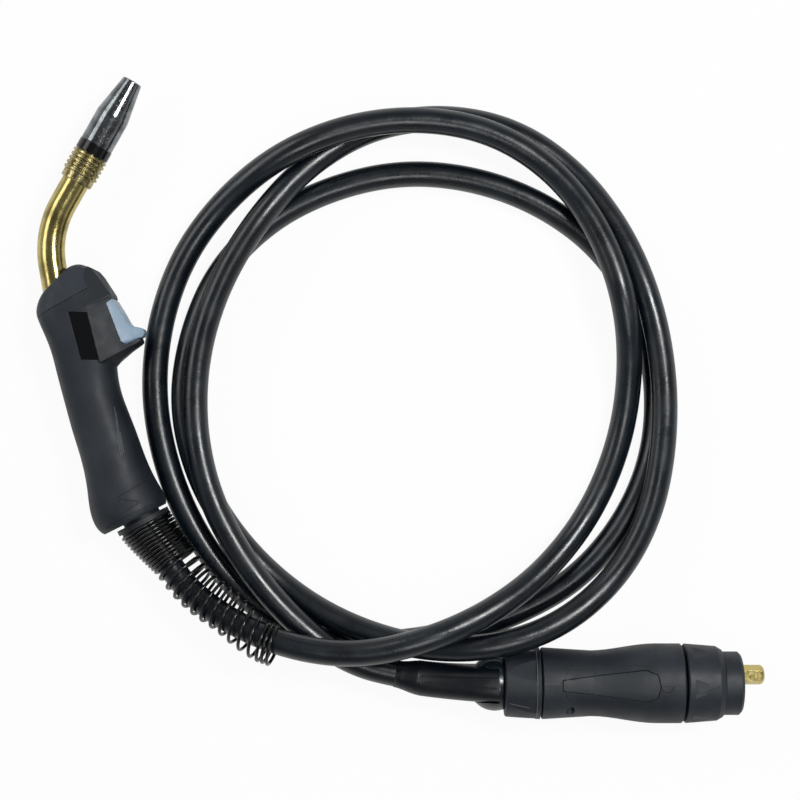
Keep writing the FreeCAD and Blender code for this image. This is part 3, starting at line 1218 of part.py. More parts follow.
def make_housing_group():
    """Plug housing in two halves, its grip inlays and its screws."""
    form, shell, stations = make_housing_form()
    across = Vector(0, 1, 0)
    places = [(HOUSING_FROM_X + x, dz) for x, dz in HOUSING_SCREW_PLACES]
    reach = 2 * HOUSING_FRONT_RADIUS
    for x, dz in places:
        pillar = rod(at_plug(x, -reach, dz), across, HOUSING_BOSS_RADIUS, 2 * reach)
        shell = shell.fuse(pillar.common(form))
    shell = shell.removeSplitter()

    inlays = make_inlays(stations, 0)
    upper_side = Part.makeBox(400, 800, 100, Vector(100, -600, PLUG_Z))
    save("grip_inlay_upper", inlays.common(upper_side))
    save("grip_inlay_lower", inlays.cut(upper_side))
    shell = shell.cut(make_inlays(stations, INLAY_GAP))

    near = Part.makeBox(200, 100, 100, Vector(HOUSING_NECK_FROM_X - 1, PARTING_Y - 100, PLUG_Z - 50))
    far = Part.makeBox(200, 100, 100, Vector(HOUSING_NECK_FROM_X - 1, PARTING_Y, PLUG_Z - 50))
    right = shell.common(near).cut(make_mark(stations))
    left = shell.common(far)
    screws = []
    for x, dz in places:
        outside = Vector(x, PARTING_Y - reach, PLUG_Z + dz)
        head_from = Vector(x, PARTING_Y - HOUSING_SCREW_HALF, PLUG_Z + dz)
        shank_from = head_from + across * HOUSING_SCREW_HEAD_HEIGHT
        shank_length = HOUSING_SCREW_HALF + HOUSING_SCREW_GRIP - HOUSING_SCREW_HEAD_HEIGHT
        right = right.cut(rod(outside, across, HOUSING_SCREW_HEAD + SLIDE, shank_from.y - outside.y))
        right = right.cut(rod(outside, across, HOUSING_SCREW_RADIUS, reach + 1.0))
        left = left.cut(rod(shank_from, across, HOUSING_SCREW_RADIUS, shank_length))
        head = rod(head_from, across, HOUSING_SCREW_HEAD, HOUSING_SCREW_HEAD_HEIGHT)
        shank = rod(shank_from, across, HOUSING_SCREW_RADIUS, shank_length)
        recess = hexagon(head_from, across, 2.0, 1.0)
        screws.append(head.fuse(shank).cut(recess))
    save("housing_right", right)
    save("housing_left", left)
    save("housing_screws", Part.makeCompound(screws))


def make_plug_front_group():
    """Adaptor nut, plug body, gun pin and liner nut."""
    lip_x = NUT_FROM_X + NUT_LIP_LENGTH
    chamfer_x = NUT_TO_X - NUT_CHAMFER
    nut = plug_turned([
        (NUT_FROM_X, BODY_STEM_RADIUS + FIT),
        (NUT_FROM_X, NUT_RADIUS - 0.8),
        (NUT_FROM_X + 0.8, NUT_RADIUS),
        (chamfer_x, NUT_FRONT_RADIUS),
        (NUT_TO_X, NUT_MOUTH_RADIUS),
        (NUT_TO_X, NUT_THREAD_RADIUS),
        (lip_x, NUT_THREAD_RADIUS),
        (lip_x, BODY_STEM_RADIUS + FIT),
    ])
    save("adaptor_nut", faceted(nut, 30, NUT_FLAT, NUT_FROM_X + NUT_REAR_BAND, chamfer_x))

    wall_x = HOUSING_TO_X - HOUSING_WALL
    flange_x = wall_x - BODY_FLANGE_LENGTH
    body = plug_turned([
        (flange_x, 0),
        (flange_x, BODY_FLANGE_RADIUS),
        (wall_x, BODY_FLANGE_RADIUS),
        (wall_x, BODY_STEM_RADIUS),
        (BODY_NOSE_FROM_X, BODY_STEM_RADIUS),
        (BODY_NOSE_FROM_X, BODY_NOSE_RADIUS),
        (BODY_NOSE_TO_X - BODY_NOSE_EDGE, BODY_NOSE_RADIUS),
        (BODY_NOSE_TO_X, BODY_NOSE_RADIUS - BODY_NOSE_EDGE),
        (BODY_NOSE_TO_X, 0),
    ])
    through = BODY_NOSE_TO_X - flange_x + 2.0
    body = body.cut(rod(at_plug(flange_x - 1.0, GUN_PIN_SHIFT), ALONG, GUN_PIN_RADIUS, through))
    for sign in (1, -1):
        dz = sign * CONTACT_SPREAD
        body = body.cut(rod(at_plug(BARREL_FROM_X, CONTACT_Y, dz), ALONG, BARREL_RADIUS,
                            BARREL_TO_X - BARREL_FROM_X))
        body = body.cut(rod(at_plug(BARREL_TO_X, CONTACT_Y, dz), ALONG, CONTACT_RADIUS + SLIDE,
                            BARREL_SET_BACK + 1.0))
        body = body.cut(rod(at_plug(flange_x - 1.0, CONTACT_Y, dz), ALONG, CONTROL_WIRE_HOLE,
                            BARREL_FROM_X - flange_x + 1.0))
    save("plug_body", body.removeSplitter())
    say("plug axis at its nose", at_plug(BODY_NOSE_TO_X))
    ring = pipe(at_plug(RETAINER_X), ALONG, RETAINER_RADIUS, BODY_STEM_RADIUS, RETAINER_WIDTH)
    save("retaining_ring", ring)

    pin_from = at_plug(POWER_BLOCK_TO_X, GUN_PIN_SHIFT)
    save("gun_pin", pipe(pin_from, ALONG, GUN_PIN_RADIUS, GUN_PIN_BORE, GUN_PIN_TO_X - POWER_BLOCK_TO_X))
    nut_from = at_plug(GUN_PIN_TO_X, GUN_PIN_SHIFT)
    stem_from = nut_from - ALONG * LINER_NUT_STEM
    liner_nut = hexagon(nut_from, ALONG, LINER_NUT_ACROSS, LINER_NUT_LENGTH)
    corner = LINER_NUT_ACROSS / 2 / math.cos(math.pi / 6)
    envelope = turned([
        (0, 0),
        (0, corner),
        (LINER_NUT_LENGTH - LINER_NUT_ROUND, corner),
        (LINER_NUT_LENGTH - LINER_NUT_ROUND * 0.35, corner - LINER_NUT_ROUND * 0.45),
        (LINER_NUT_LENGTH, corner - LINER_NUT_ROUND),
        (LINER_NUT_LENGTH, 0),
    ], nut_from, ALONG)
    liner_nut = liner_nut.common(envelope).fuse(rod(stem_from, ALONG, GUN_PIN_BORE, LINER_NUT_STEM))
    bore = rod(stem_from - ALONG, ALONG, LINER_NUT_BORE, LINER_NUT_STEM + LINER_NUT_LENGTH + 2.0)
    save("liner_nut", liner_nut.cut(bore))


def make_contact_group():
    """The two spring contacts with their barrels, springs and control wires."""
    chamber_from = BARREL_FROM_X + BARREL_BASE
    spring_from = chamber_from + CONTACT_SPRING_WIRE / 2 + CONTACT_SPRING_GAP
    barrels = []
    springs = []
    leads = []
    for name, sign in (("upper", 1), ("lower", -1)):
        dz = sign * CONTACT_SPREAD
        barrel = rod(at_plug(BARREL_FROM_X, CONTACT_Y, dz), ALONG, BARREL_RADIUS, BARREL_TO_X - BARREL_FROM_X)
        barrel = barrel.cut(rod(at_plug(chamber_from, CONTACT_Y, dz), ALONG,
                                CONTACT_HEAD_RADIUS + SLIDE, CONTACT_HEAD_TO_X - chamber_from))
        barrels.append(barrel.cut(rod(at_plug(CONTACT_HEAD_TO_X - 1.0, CONTACT_Y, dz), ALONG,
                                      CONTACT_RADIUS + FIT, CONTACT_GUIDE + 2.0)))
        pin = rod(at_plug(CONTACT_HEAD_TO_X, CONTACT_Y, dz), ALONG, CONTACT_RADIUS,
                  BODY_NOSE_TO_X - CONTACT_HEAD_TO_X)
        head = rod(at_plug(CONTACT_HEAD_FROM_X, CONTACT_Y, dz), ALONG,
                   CONTACT_HEAD_RADIUS, CONTACT_HEAD_LENGTH)
        save("contact_pin_" + name, pin.fuse(head).removeSplitter())

        def place(turn, z=dz):
            """A point of the small spring's centre line."""
            angle = 2 * math.pi * turn
            return at_plug(spring_from + turn * CONTACT_SPRING_PITCH,
                           CONTACT_Y + CONTACT_SPRING_RADIUS * math.cos(angle),
                           z + CONTACT_SPRING_RADIUS * math.sin(angle))

        springs.append(swept(coil_edges(place, CONTACT_SPRING_TURNS), CONTACT_SPRING_WIRE / 2))
        points = []
        for behind, dy, rise in CONTROL_ROUTE:
            points.append(tuple(at_plug(BARREL_FROM_X - behind, CONTACT_Y + dy, dz + sign * rise)))
        edges, radii = rounded_route(points)
        leads.append(swept(edges, CONTROL_WIRE_RADIUS))
    save("contact_barrels", Part.makeCompound(barrels))
    save("contact_springs", Part.makeCompound(springs))
    save("control_leads", Part.makeCompound(leads))


make_nozzle_group()
SOCKET = make_neck_group()
LEAD = make_lead_group()
make_trigger_group(make_handle_group(SOCKET, LEAD))
make_strain_relief()
make_cable()
make_cable_end_group()
make_housing_group()
make_plug_front_group()
make_contact_group()
make_spring()
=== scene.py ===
"""Looks of a gas-cooled MIG welding torch with its coiled cable and its round machine plug.

Everything is in metres in the frame of the solids: the torch lies on its side on the floor, +X to the
right, +Y away and +Z up. Each sub-assembly is a class that makes and dresses its own pieces, and each
surface finish is a small dataclass that builds its own material.
"""

import json
import logging
import math
from dataclasses import dataclass
from enum import Enum
from typing import Any

import bmesh
import bpy
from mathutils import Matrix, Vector

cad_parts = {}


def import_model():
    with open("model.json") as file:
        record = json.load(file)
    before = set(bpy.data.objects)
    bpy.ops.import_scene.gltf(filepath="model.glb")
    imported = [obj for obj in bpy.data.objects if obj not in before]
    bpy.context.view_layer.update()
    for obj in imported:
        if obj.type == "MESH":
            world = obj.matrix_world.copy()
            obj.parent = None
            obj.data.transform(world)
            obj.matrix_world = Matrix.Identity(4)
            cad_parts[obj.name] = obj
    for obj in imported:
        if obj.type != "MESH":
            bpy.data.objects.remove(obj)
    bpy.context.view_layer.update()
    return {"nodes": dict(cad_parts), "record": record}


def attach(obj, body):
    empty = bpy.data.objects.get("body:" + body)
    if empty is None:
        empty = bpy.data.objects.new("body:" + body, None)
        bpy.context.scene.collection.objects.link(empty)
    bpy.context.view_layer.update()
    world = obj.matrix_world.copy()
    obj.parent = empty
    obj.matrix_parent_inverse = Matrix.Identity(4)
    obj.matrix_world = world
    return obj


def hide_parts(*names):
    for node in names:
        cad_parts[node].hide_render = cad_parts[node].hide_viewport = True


logging.basicConfig(level=logging.INFO, format="%(levelname)s %(message)s")
LOG = logging.getLogger("torch")

MM = 0.001
Point = tuple[float, float, float]
Pair = tuple[float, float]
Socket = bpy.types.NodeSocket
Tree = bpy.types.NodeTree

# The sRGB curve: a straight toe, then a power
SRGB_TOE = 0.04045
SRGB_TOE_SLOPE = 12.92
SRGB_SHIFT = 0.055
SRGB_POWER = 2.4

# Sockets of a Mix node that mixes colours: its two colours and its result
MIX_BELOW, MIX_ABOVE, MIX_RESULT = 6, 7, 2

# Geometry Nodes: points round a bead and round the spring's wire, and how far down a line is laid
BEAD_SIDES = 8
WIRE_SIDES = 10
LAY_REACH = 0.2


class Slot(Enum):
    """Material slots of the record that pieces take their finish from."""

    CHROME = "chrome"
    BRASS = "brass"
    COPPER = "copper"
    STEEL = "steel"
    BLACK_INSULATOR = "black_insulator"
    INNER_PLASTIC = "inner_plastic"
    HANDLE = "handle_plastic"
    FRAME = "frame_plastic"
    TRIGGER = "trigger_plastic"
    LABEL = "label"
    CABLE = "cable_rubber"
    SPRING = "spring_wire"
    PLUG = "plug_plastic"
    SLEEVE = "wire_sleeve"


def linear(colour: str) -> tuple[float, float, float, float]:
    """Turns an sRGB hex colour into the linear one that shaders take.

    Args:
        colour: six hex digits after a hash sign.

    Returns:
        Linear red, green, blue and a full alpha.
    """
    parts = [int(colour[i : i + 2], 16) / 255 for i in (1, 3, 5)]
    red, green, blue = (
        c / SRGB_TOE_SLOPE if c <= SRGB_TOE else ((c + SRGB_SHIFT) / (1 + SRGB_SHIFT)) ** SRGB_POWER
        for c in parts
    )
    return red, green, blue, 1.0


def add(tree: Tree, kind: str, inputs: dict | None = None, **settings: Any) -> bpy.types.Node:
    """Adds a node with its settings, values and links.

    Args:
        tree: the node tree it goes in.
        kind: the node's type.
        inputs: for a socket's name or number, its value or the socket that feeds it.
        settings: the node's own properties.

    Returns:
        The new node.
    """
    node = tree.nodes.new(kind)
    for name, value in settings.items():
        setattr(node, name, value)
    for name, value in (inputs or {}).items():
        if isinstance(value, bpy.types.NodeSocket):
            tree.links.new(value, node.inputs[name])
        else:
            node.inputs[name].default_value = value
    return node


def calc(tree: Tree, operation: str, *values: Any) -> Socket:
    """Adds a maths node on numbers.

    Args:
        tree: the node tree it goes in.
        operation: what it does.
        values: numbers, or sockets that give them.

    Returns:
        The result.
    """
    return add(tree, "ShaderNodeMath", dict(enumerate(values)), operation=operation).outputs[0]


def vector(tree: Tree, operation: str, *values: Any) -> Socket:
    """Adds a maths node on vectors.

    Args:
        tree: the node tree it goes in.
        operation: what it does.
        values: vectors, or sockets that give them.

    Returns:
        The result.
    """
    return add(tree, "ShaderNodeVectorMath", dict(enumerate(values)), operation=operation).outputs[0]


def scaled(tree: Tree, value: Socket, factor: Socket) -> Socket:
    """Makes a vector longer or shorter.

    Args:
        tree: the node tree it goes in.
        value: the vector.
        factor: how many times as long it gets.

    Returns:
        The scaled vector.
    """
    return add(tree, "ShaderNodeVectorMath", {0: value, "Scale": factor}, operation="SCALE").outputs[0]


@dataclass(frozen=True)
class Finish:
    """A plain surface, and the parts that every finish shares.

    Every pattern is soft noise laid out in metres on the piece itself.

    Attributes:
        name: the material's common name and how its surface was made.
        colour: its colour as sRGB hex.
        roughness: how blurred its reflections are.
        metallic: 1 for a bare metal, else 0.
        ior: index of refraction, left alone for a metal.
    """

    name: str
    colour: str
    roughness: float
    metallic: float = 0.0
    ior: float = 1.5

    def material(self) -> bpy.types.Material:
        """Builds the material, or finds it where it is already made.

        Returns:
            The material.
        """
        made = bpy.data.materials.get(self.name)
        if made:
            return made
        made = bpy.data.materials.new(self.name)
        made.use_nodes = True
        tree = made.node_tree
        shader = tree.nodes["Principled BSDF"]
        shader.inputs["Base Color"].default_value = linear(self.colour)
        shader.inputs["Roughness"].default_value = self.roughness
        shader.inputs["Metallic"].default_value = self.metallic
        if not self.metallic:
            shader.inputs["IOR"].default_value = self.ior
        made.diffuse_color = linear(self.colour)
        self.pattern(tree, shader)
        return made

    def pattern(self, tree: Tree, shader: bpy.types.Node) -> None:
        """Adds the surface's own detail. A plain finish has none.

        Args:
            tree: the material's tree.
            shader: its shader.
        """

    @staticmethod
    def noise(tree: Tree, size_mm: float, detail: float) -> Socket:
        """Soft noise on the piece.

        Args:
            tree: the material's tree.
            size_mm: width of its patches.
            detail: how ragged they are.

        Returns:
            Its value, mostly from 0.3 to 0.7.
        """
        place = add(tree, "ShaderNodeTexCoord").outputs["Object"]
        inputs = {"Vector": place, "Scale": 1 / (size_mm * MM), "Detail": detail}
        return add(tree, "ShaderNodeTexNoise", inputs).outputs["Fac"]

    @staticmethod
    def ramp(tree: Tree, value: Socket, shows: Pair, to: Pair = (0, 1)) -> Socket:
        """Stretches a value.

        Args:
            tree: the material's tree.
            value: what is stretched.
            shows: where it starts to show and where it is full.
            to: the results there.

        Returns:
            The stretched value.
        """
        inputs = {"Value": value, "From Min": shows[0], "From Max": shows[1]}
        inputs |= {"To Min": to[0], "To Max": to[1]}
        return add(tree, "ShaderNodeMapRange", inputs).outputs["Result"]

    def tint(self, tree: Tree, shader: bpy.types.Node, mask: Socket, colour: str) -> None:
        """Shows another colour where a mask is bright.

        Args:
            tree: the material's tree.
            shader: its shader.
            mask: where the colour shows.
            colour: the other colour as sRGB hex.
        """
        now = shader.inputs["Base Color"]
        below = now.links[0].from_socket if now.links else linear(self.colour)
        inputs = {0: mask, MIX_BELOW: below, MIX_ABOVE: linear(colour)}
        mix = add(tree, "ShaderNodeMix", inputs, data_type="RGBA")
        tree.links.new(mix.outputs[MIX_RESULT], now)

    def uneven_gloss(self, tree: Tree, shader: bpy.types.Node, marks: Socket, shows: Pair, by: Pair) -> None:
        """Varies the roughness.

        Args:
            tree: the material's tree.
            shader: its shader.
            marks: noise that the roughness follows.
            shows: where the noise starts to show and where it is full.
            by: what is added to the roughness there.
        """
        rough = self.ramp(tree, marks, shows, (self.roughness + by[0], self.roughness + by[1]))
        tree.links.new(rough, shader.inputs["Roughness"])

    def edges(self, tree: Tree, shader: bpy.types.Node, radius_mm: float, wear: float) -> Socket:
        """Rounds the edges in the shading and finds them.

        Args:
            tree: the material's tree.
            shader: its shader, whose normal is set.
            radius_mm: radius of the edges.
            wear: how strongly the mask shows them.

        Returns:
            A mask that is bright along the edges, broken up by noise.
        """
        round_normal = add(tree, "ShaderNodeBevel", {"Radius": radius_mm * MM}, samples=6).outputs["Normal"]
        tree.links.new(round_normal, shader.inputs["Normal"])
        flat = add(tree, "ShaderNodeNewGeometry").outputs["Normal"]
        along = add(tree, "ShaderNodeVectorMath", {0: round_normal, 1: flat}, operation="DOT_PRODUCT")
        bend = self.ramp(tree, along.outputs["Value"], shows=(0.985, 0.8), to=(0, wear))
        broken = self.ramp(tree, self.noise(tree, size_mm=2.5, detail=4.0), shows=(0.35, 0.62))
        return calc(tree, "MULTIPLY", bend, broken)

    @staticmethod
    def bump(tree: Tree, shader: bpy.types.Node, height: Socket, depth_mm: float) -> None:
        """Raises the surface, on top of what has raised it already.

        Args:
            tree: the material's tree.
            shader: its shader.
            height: height of the relief, from 0 to 1.
            depth_mm: what a height of 1 stands for.
        """
        inputs = {"Height": height, "Distance": depth_mm * MM, "Strength": 1.0}
        now = shader.inputs["Normal"]
        if now.links:
            inputs["Normal"] = now.links[0].from_socket
        tree.links.new(add(tree, "ShaderNodeBump", inputs).outputs["Normal"], now)


@dataclass(frozen=True)
class MouldedPlastic(Finish):
    """Glass-filled nylon from a spark-eroded mould: a fine even grain that dulls the highlights.

    Attributes:
        grain_mm: grain width. The real one is about 0.2 mm; it is drawn coarser so that it shows.
        grain_depth_mm: height of the grain.
        worn: colour of handled and scuffed places.
        wear: how much of that colour shows.
        edge_mm: radius of the mould's rounded edges.
        edge_wear: how much of the worn colour the edges take.
    """

    grain_mm: float = 0.9
    grain_depth_mm: float = 0.03
    worn: str = "#5a5c60"
    wear: float = 0.22
    edge_mm: float = 0.45
    edge_wear: float = 0.55

    def pattern(self, tree: Tree, shader: bpy.types.Node) -> None:
        """Adds rounded edges that are rubbed pale, mould grain and faint patches of handling.

        Args:
            tree: the material's tree.
            shader: its shader.
        """
        handled = self.noise(tree, size_mm=28.0, detail=6.0)
        self.tint(tree, shader, self.ramp(tree, handled, shows=(0.45, 0.75), to=(0, self.wear)), self.worn)
        self.tint(tree, shader, self.edges(tree, shader, self.edge_mm, self.edge_wear), self.worn)
        marks = self.noise(tree, size_mm=9.0, detail=3.0)
        self.uneven_gloss(tree, shader, marks, shows=(0.3, 0.7), by=(-0.06, 0.06))
        self.bump(tree, shader, self.noise(tree, self.grain_mm, detail=2.0), self.grain_depth_mm)


@dataclass(frozen=True)
class BareMetal(Finish):
    """Turned and polished metal: fine marks, and smudges where it has been held.

    Attributes:
        smudge: colour of the dull film in the smudges.
        film: how much of that colour shows.
        patch_mm: width of the smudges.
        pit_mm: width of the fine pits, or 0 for none.
    """

    metallic: float = 1.0
    smudge: str = "#8d8a80"
    film: float = 0.4
    patch_mm: float = 6.0
    pit_mm: float = 0.0

    def pattern(self, tree: Tree, shader: bpy.types.Node) -> None:
        """Adds rounded edges, smudges, an uneven gloss, soft dents and pits.

        Args:
            tree: the material's tree.
            shader: its shader.
        """
        self.edges(tree, shader, radius_mm=0.25, wear=0.0)
        held = self.noise(tree, self.patch_mm, detail=5.0)
        self.tint(tree, shader, self.ramp(tree, held, shows=(0.46, 0.66), to=(0, self.film)), self.smudge)
        marks = self.noise(tree, size_mm=3.0, detail=3.0)
        self.uneven_gloss(tree, shader, marks, shows=(0.3, 0.8), by=(0, 0.14))
        self.bump(tree, shader, self.noise(tree, size_mm=5.0, detail=2.0), depth_mm=0.08)
        if self.pit_mm:
            pits = self.ramp(tree, self.noise(tree, self.pit_mm, detail=3.0), shows=(0.62, 0.7))
            self.tint(tree, shader, pits, self.smudge)
            self.bump(tree, shader, pits, depth_mm=-0.05)


@dataclass(frozen=True)
class GlossPlastic(Finish):
    """Smooth moulded or lacquered black: a clear gloss with hardly any grain."""

    def pattern(self, tree: Tree, shader: bpy.types.Node) -> None:
        """Adds rounded edges and faint wipe marks to the gloss.

        Args:
            tree: the material's tree.
            shader: its shader.
        """
        self.edges(tree, shader, radius_mm=0.2, wear=0.0)
        marks = self.noise(tree, size_mm=5.0, detail=4.0)
        self.uneven_gloss(tree, shader, marks, shows=(0.3, 0.8), by=(0, 0.1))


@dataclass(frozen=True)
class CableRubber(Finish):
    """Extruded rubber cable jacket: a satin skin with soft dents, dust and specks of grit.

    Attributes:
        dust: colour of the dust film.
        grit: colour of the specks.
    """

    dust: str = "#2b3236"
    grit: str = "#6d7274"

    def pattern(self, tree: Tree, shader: bpy.types.Node) -> None:
        """Adds dust, specks, an uneven gloss, soft dents and the skin's fine grain.

        Args:
            tree: the material's tree.
            shader: its shader.
        """
        film = self.noise(tree, size_mm=34.0, detail=6.0)
        self.tint(tree, shader, self.ramp(tree, film, shows=(0.42, 0.75), to=(0, 0.5)), self.dust)
        specks = self.noise(tree, size_mm=1.3, detail=2.0)
        self.tint(tree, shader, self.ramp(tree, specks, shows=(0.73, 0.78), to=(0, 0.5)), self.grit)
        marks = self.noise(tree, size_mm=16.0, detail=4.0)
        self.uneven_gloss(tree, shader, marks, shows=(0.3, 0.7), by=(-0.05, 0.1))
        self.bump(tree, shader, self.noise(tree, size_mm=11.0, detail=2.0), depth_mm=0.22)
        self.bump(tree, shader, self.noise(tree, size_mm=0.8, detail=2.0), depth_mm=0.008)


CHROME = BareMetal(
    "chrome_plated_copper", "#8b8f91", 0.08, smudge="#1c1f21", film=0.5, patch_mm=7.0, pit_mm=1.1
)
BRASS = BareMetal("polished_brass", "#c4b474", 0.12, smudge="#544a20", film=0.5, patch_mm=12.0)
TURNED_BRASS = BareMetal(
    "handled_turned_brass", "#b9ad7c", 0.2, smudge="#383318", film=0.75, patch_mm=3.0, pit_mm=0.9
)
PIN_BRASS = BareMetal("drawn_hexagon_brass", "#d9c878", 0.16, smudge="#85763a")
COPPER = BareMetal("turned_copper", "#c98a5e", 0.25, smudge="#8a5a3c")
STEEL = BareMetal("bright_steel", "#a4a6aa", 0.25, smudge="#6c6d70")
BLACK_INSULATOR = GlossPlastic("gloss_phenolic", "#040405", 0.12)
INNER_PLASTIC = MouldedPlastic("natural_nylon", "#c3bdae", 0.5, worn="#a39d8e")
HANDLE_NYLON = MouldedPlastic("grained_charcoal_nylon", "#101821", 0.56, worn="#474c52")
CAP_NYLON = MouldedPlastic("grained_nose_nylon", "#202831", 0.56, worn="#4b5056")
FRAME_NYLON = MouldedPlastic(
    "grained_frame_nylon", "#11181f", 0.6, worn="#4a5051", grain_mm=1.1, grain_depth_mm=0.05, edge_wear=0.75
)
TRIGGER_ABS = MouldedPlastic(
    "satin_blue_grey_abs", "#8ba4b9", 0.4, worn="#b3c6d6", wear=0.25, grain_depth_mm=0.008, edge_wear=0.4
)
# A darker copy of the trigger's finish for its broken edges: painted shade of the bevel band, with rubbed
# wear
TRIGGER_SHADED_EDGE = MouldedPlastic(
    "shaded_and_rubbed_blue_grey_abs", "#5d717b", 0.5, worn="#8a9c9f", wear=0.5, grain_depth_mm=0.02, edge_wear=0.2
)
LABEL_GLOSS = GlossPlastic("gloss_label_film", "#050609", 0.07)
CABLE_JACKET = CableRubber("extruded_cable_rubber", "#040b12", 0.27, ior=1.6, dust="#1b272f")
BOOT_RUBBER = CableRubber("moulded_boot_rubber", "#040910", 0.36, ior=1.45, dust="#161c20")
SPRING_ENAMEL = GlossPlastic("enamelled_spring_wire", "#050607", 0.14)
PLUG_NYLON = MouldedPlastic("grained_plug_nylon", "#10171f", 0.54, worn="#474e55", wear=0.3)
INLAY_RUBBER = MouldedPlastic(
    "soft_inlay_rubber", "#1c2227", 0.52, worn="#3c4146", grain_mm=0.7, edge_wear=0.15
)
# Pale beads painted as the highlights along the grip ridges and the collar's rim and facets, with patches
# paler still
LINE_HIGHLIGHT = MouldedPlastic("painted_highlight_line_nylon", "#565b60", 0.4, worn="#7d8287", wear=0.6)
# Dark beads painted as the shade in grooves: on the boot, along the housing inlay's outline and on the nut
LINE_SHADE = MouldedPlastic("painted_groove_shade_nylon", "#06080a", 0.5, worn="#15181a", edge_wear=0.1)
WIRE_PVC = GlossPlastic("red_wire_pvc", "#8e2b24", 0.4)

FINISH_OF: dict[Slot, Finish] = {
    Slot.CHROME: CHROME,
    Slot.BRASS: BRASS,
    Slot.COPPER: COPPER,
    Slot.STEEL: STEEL,
    Slot.BLACK_INSULATOR: BLACK_INSULATOR,
    Slot.INNER_PLASTIC: INNER_PLASTIC,
    Slot.HANDLE: HANDLE_NYLON,
    Slot.FRAME: FRAME_NYLON,
    Slot.TRIGGER: TRIGGER_ABS,
    Slot.LABEL: LABEL_GLOSS,
    Slot.CABLE: CABLE_JACKET,
    Slot.SPRING: SPRING_ENAMEL,
    Slot.PLUG: PLUG_NYLON,
    Slot.SLEEVE: WIRE_PVC,
}

# Nodes whose finish differs from the others of their slot
FINISH_OF_NODE: dict[str, Finish] = {
    "neck_head": TURNED_BRASS,
    "gun_pin": PIN_BRASS,
    "nose_cap": CAP_NYLON,
    "bend_sleeve": BOOT_RUBBER,
    "grip_inlay_upper": INLAY_RUBBER,
    "grip_inlay_lower": INLAY_RUBBER,
}


def dress(piece: bpy.types.Object, finish: Finish) -> None:
    """Gives a piece one finish in place of whatever it had.

    Args:
        piece: the piece.
        finish: its new finish.
    """
    piece.data.materials.clear()
    piece.data.materials.append(finish.material())


def link(name: str, data: bpy.types.ID) -> bpy.types.Object:
    """Makes an object of some data and puts it in the scene.

    Args:
        name: the object's name.
        data: its mesh, curve, light or camera.

    Returns:
        The new object.
    """
    piece = bpy.data.objects.new(name, data)
    bpy.context.scene.collection.objects.link(piece)
    return piece


def line_tree(name: str, extra: dict[str, str]) -> tuple[Tree, Any, Socket]:
    """Starts a Geometry Nodes tree that makes a round strand along a line.

    Args:
        name: the tree's name.
        extra: inputs of its own and their kinds, besides the line, radius, step and finish.

    Returns:
        The tree, its inputs and the line as a curve with even points.
    """
    tree = bpy.data.node_groups.new(name, "GeometryNodeTree")
    shared = {"Line": "Geometry", "Radius": "Float", "Step": "Float", "Finish": "Material"}
    for socket, kind in {**shared, **extra}.items():
        tree.interface.new_socket(socket, in_out="INPUT", socket_type="NodeSocket" + kind)
    tree.interface.new_socket("Strand", in_out="OUTPUT", socket_type="NodeSocketGeometry")
    given = add(tree, "NodeGroupInput").outputs
    line = add(tree, "GeometryNodeMeshToCurve", {"Mesh": given["Line"]}).outputs["Curve"]
    even = add(tree, "GeometryNodeResampleCurve", {"Curve": line, "Length": given["Step"]}, mode="LENGTH")
    return tree, given, even.outputs[0]


def end_tree(tree: Tree, given: Any, line: Socket, sides: int) -> None:
    """Ends such a tree: sweeps a round section along the line and gives it its finish.

    Args:
        tree: the tree.
        given: its inputs.
        line: the line as it is laid.
        sides: points round the section.
    """
    section = {"Resolution": sides, "Radius": given["Radius"]}
    ring = add(tree, "GeometryNodeCurvePrimitiveCircle", section).outputs["Curve"]
    strand = add(tree, "GeometryNodeCurveToMesh", {"Curve": line, "Profile Curve": ring, "Fill Caps": True})
    whole = add(tree, "GeometryNodeRealizeInstances", {"Geometry": strand.outputs["Mesh"]})
    coat = {"Geometry": whole.outputs["Geometry"], "Material": given["Finish"]}
    coat = add(tree, "GeometryNodeSetMaterial", coat)
    add(tree, "NodeGroupOutput", {"Strand": coat.outputs["Geometry"]})


def surface_tree() -> Tree:
    """The tree that lays thin beads along a surface from above.

    Returns:
        A tree whose own inputs are the surface's object and how deep the beads are sunk.
    """
    made = bpy.data.node_groups.get("surface_beads")
    if made:
        return made
    tree, given, line = line_tree("surface_beads", {"Surface": "Object", "Sunk": "Float"})
    surface = add(tree, "GeometryNodeObjectInfo", {"Object": given["Surface"]}, transform_space="RELATIVE")
    ray = {"Target Geometry": surface.outputs["Geometry"]}
    ray |= {"Ray Direction": (0, 0, -1), "Ray Length": LAY_REACH}
    hit = add(tree, "GeometryNodeRaycast", ray).outputs
    missed = add(tree, "FunctionNodeBooleanMath", {0: hit["Is Hit"]}, operation="NOT").outputs[0]
    kept = add(tree, "GeometryNodeCaptureAttribute", {"Geometry": line})
    kept.capture_items.new("VECTOR", "Place")
    kept.capture_items.new("BOOLEAN", "Missed")
    sink = scaled(tree, hit["Hit Normal"], given["Sunk"])
    tree.links.new(vector(tree, "SUBTRACT", hit["Hit Position"], sink), kept.inputs["Place"])
    tree.links.new(missed, kept.inputs["Missed"])
    laid = {"Geometry": kept.outputs["Geometry"], "Position": kept.outputs["Place"]}
    laid = add(tree, "GeometryNodeSetPosition", laid).outputs["Geometry"]
    gone = {"Geometry": laid, "Selection": kept.outputs["Missed"]}
    laid = add(tree, "GeometryNodeDeleteGeometry", gone).outputs["Geometry"]
    end_tree(tree, given, laid, BEAD_SIDES)
    return tree


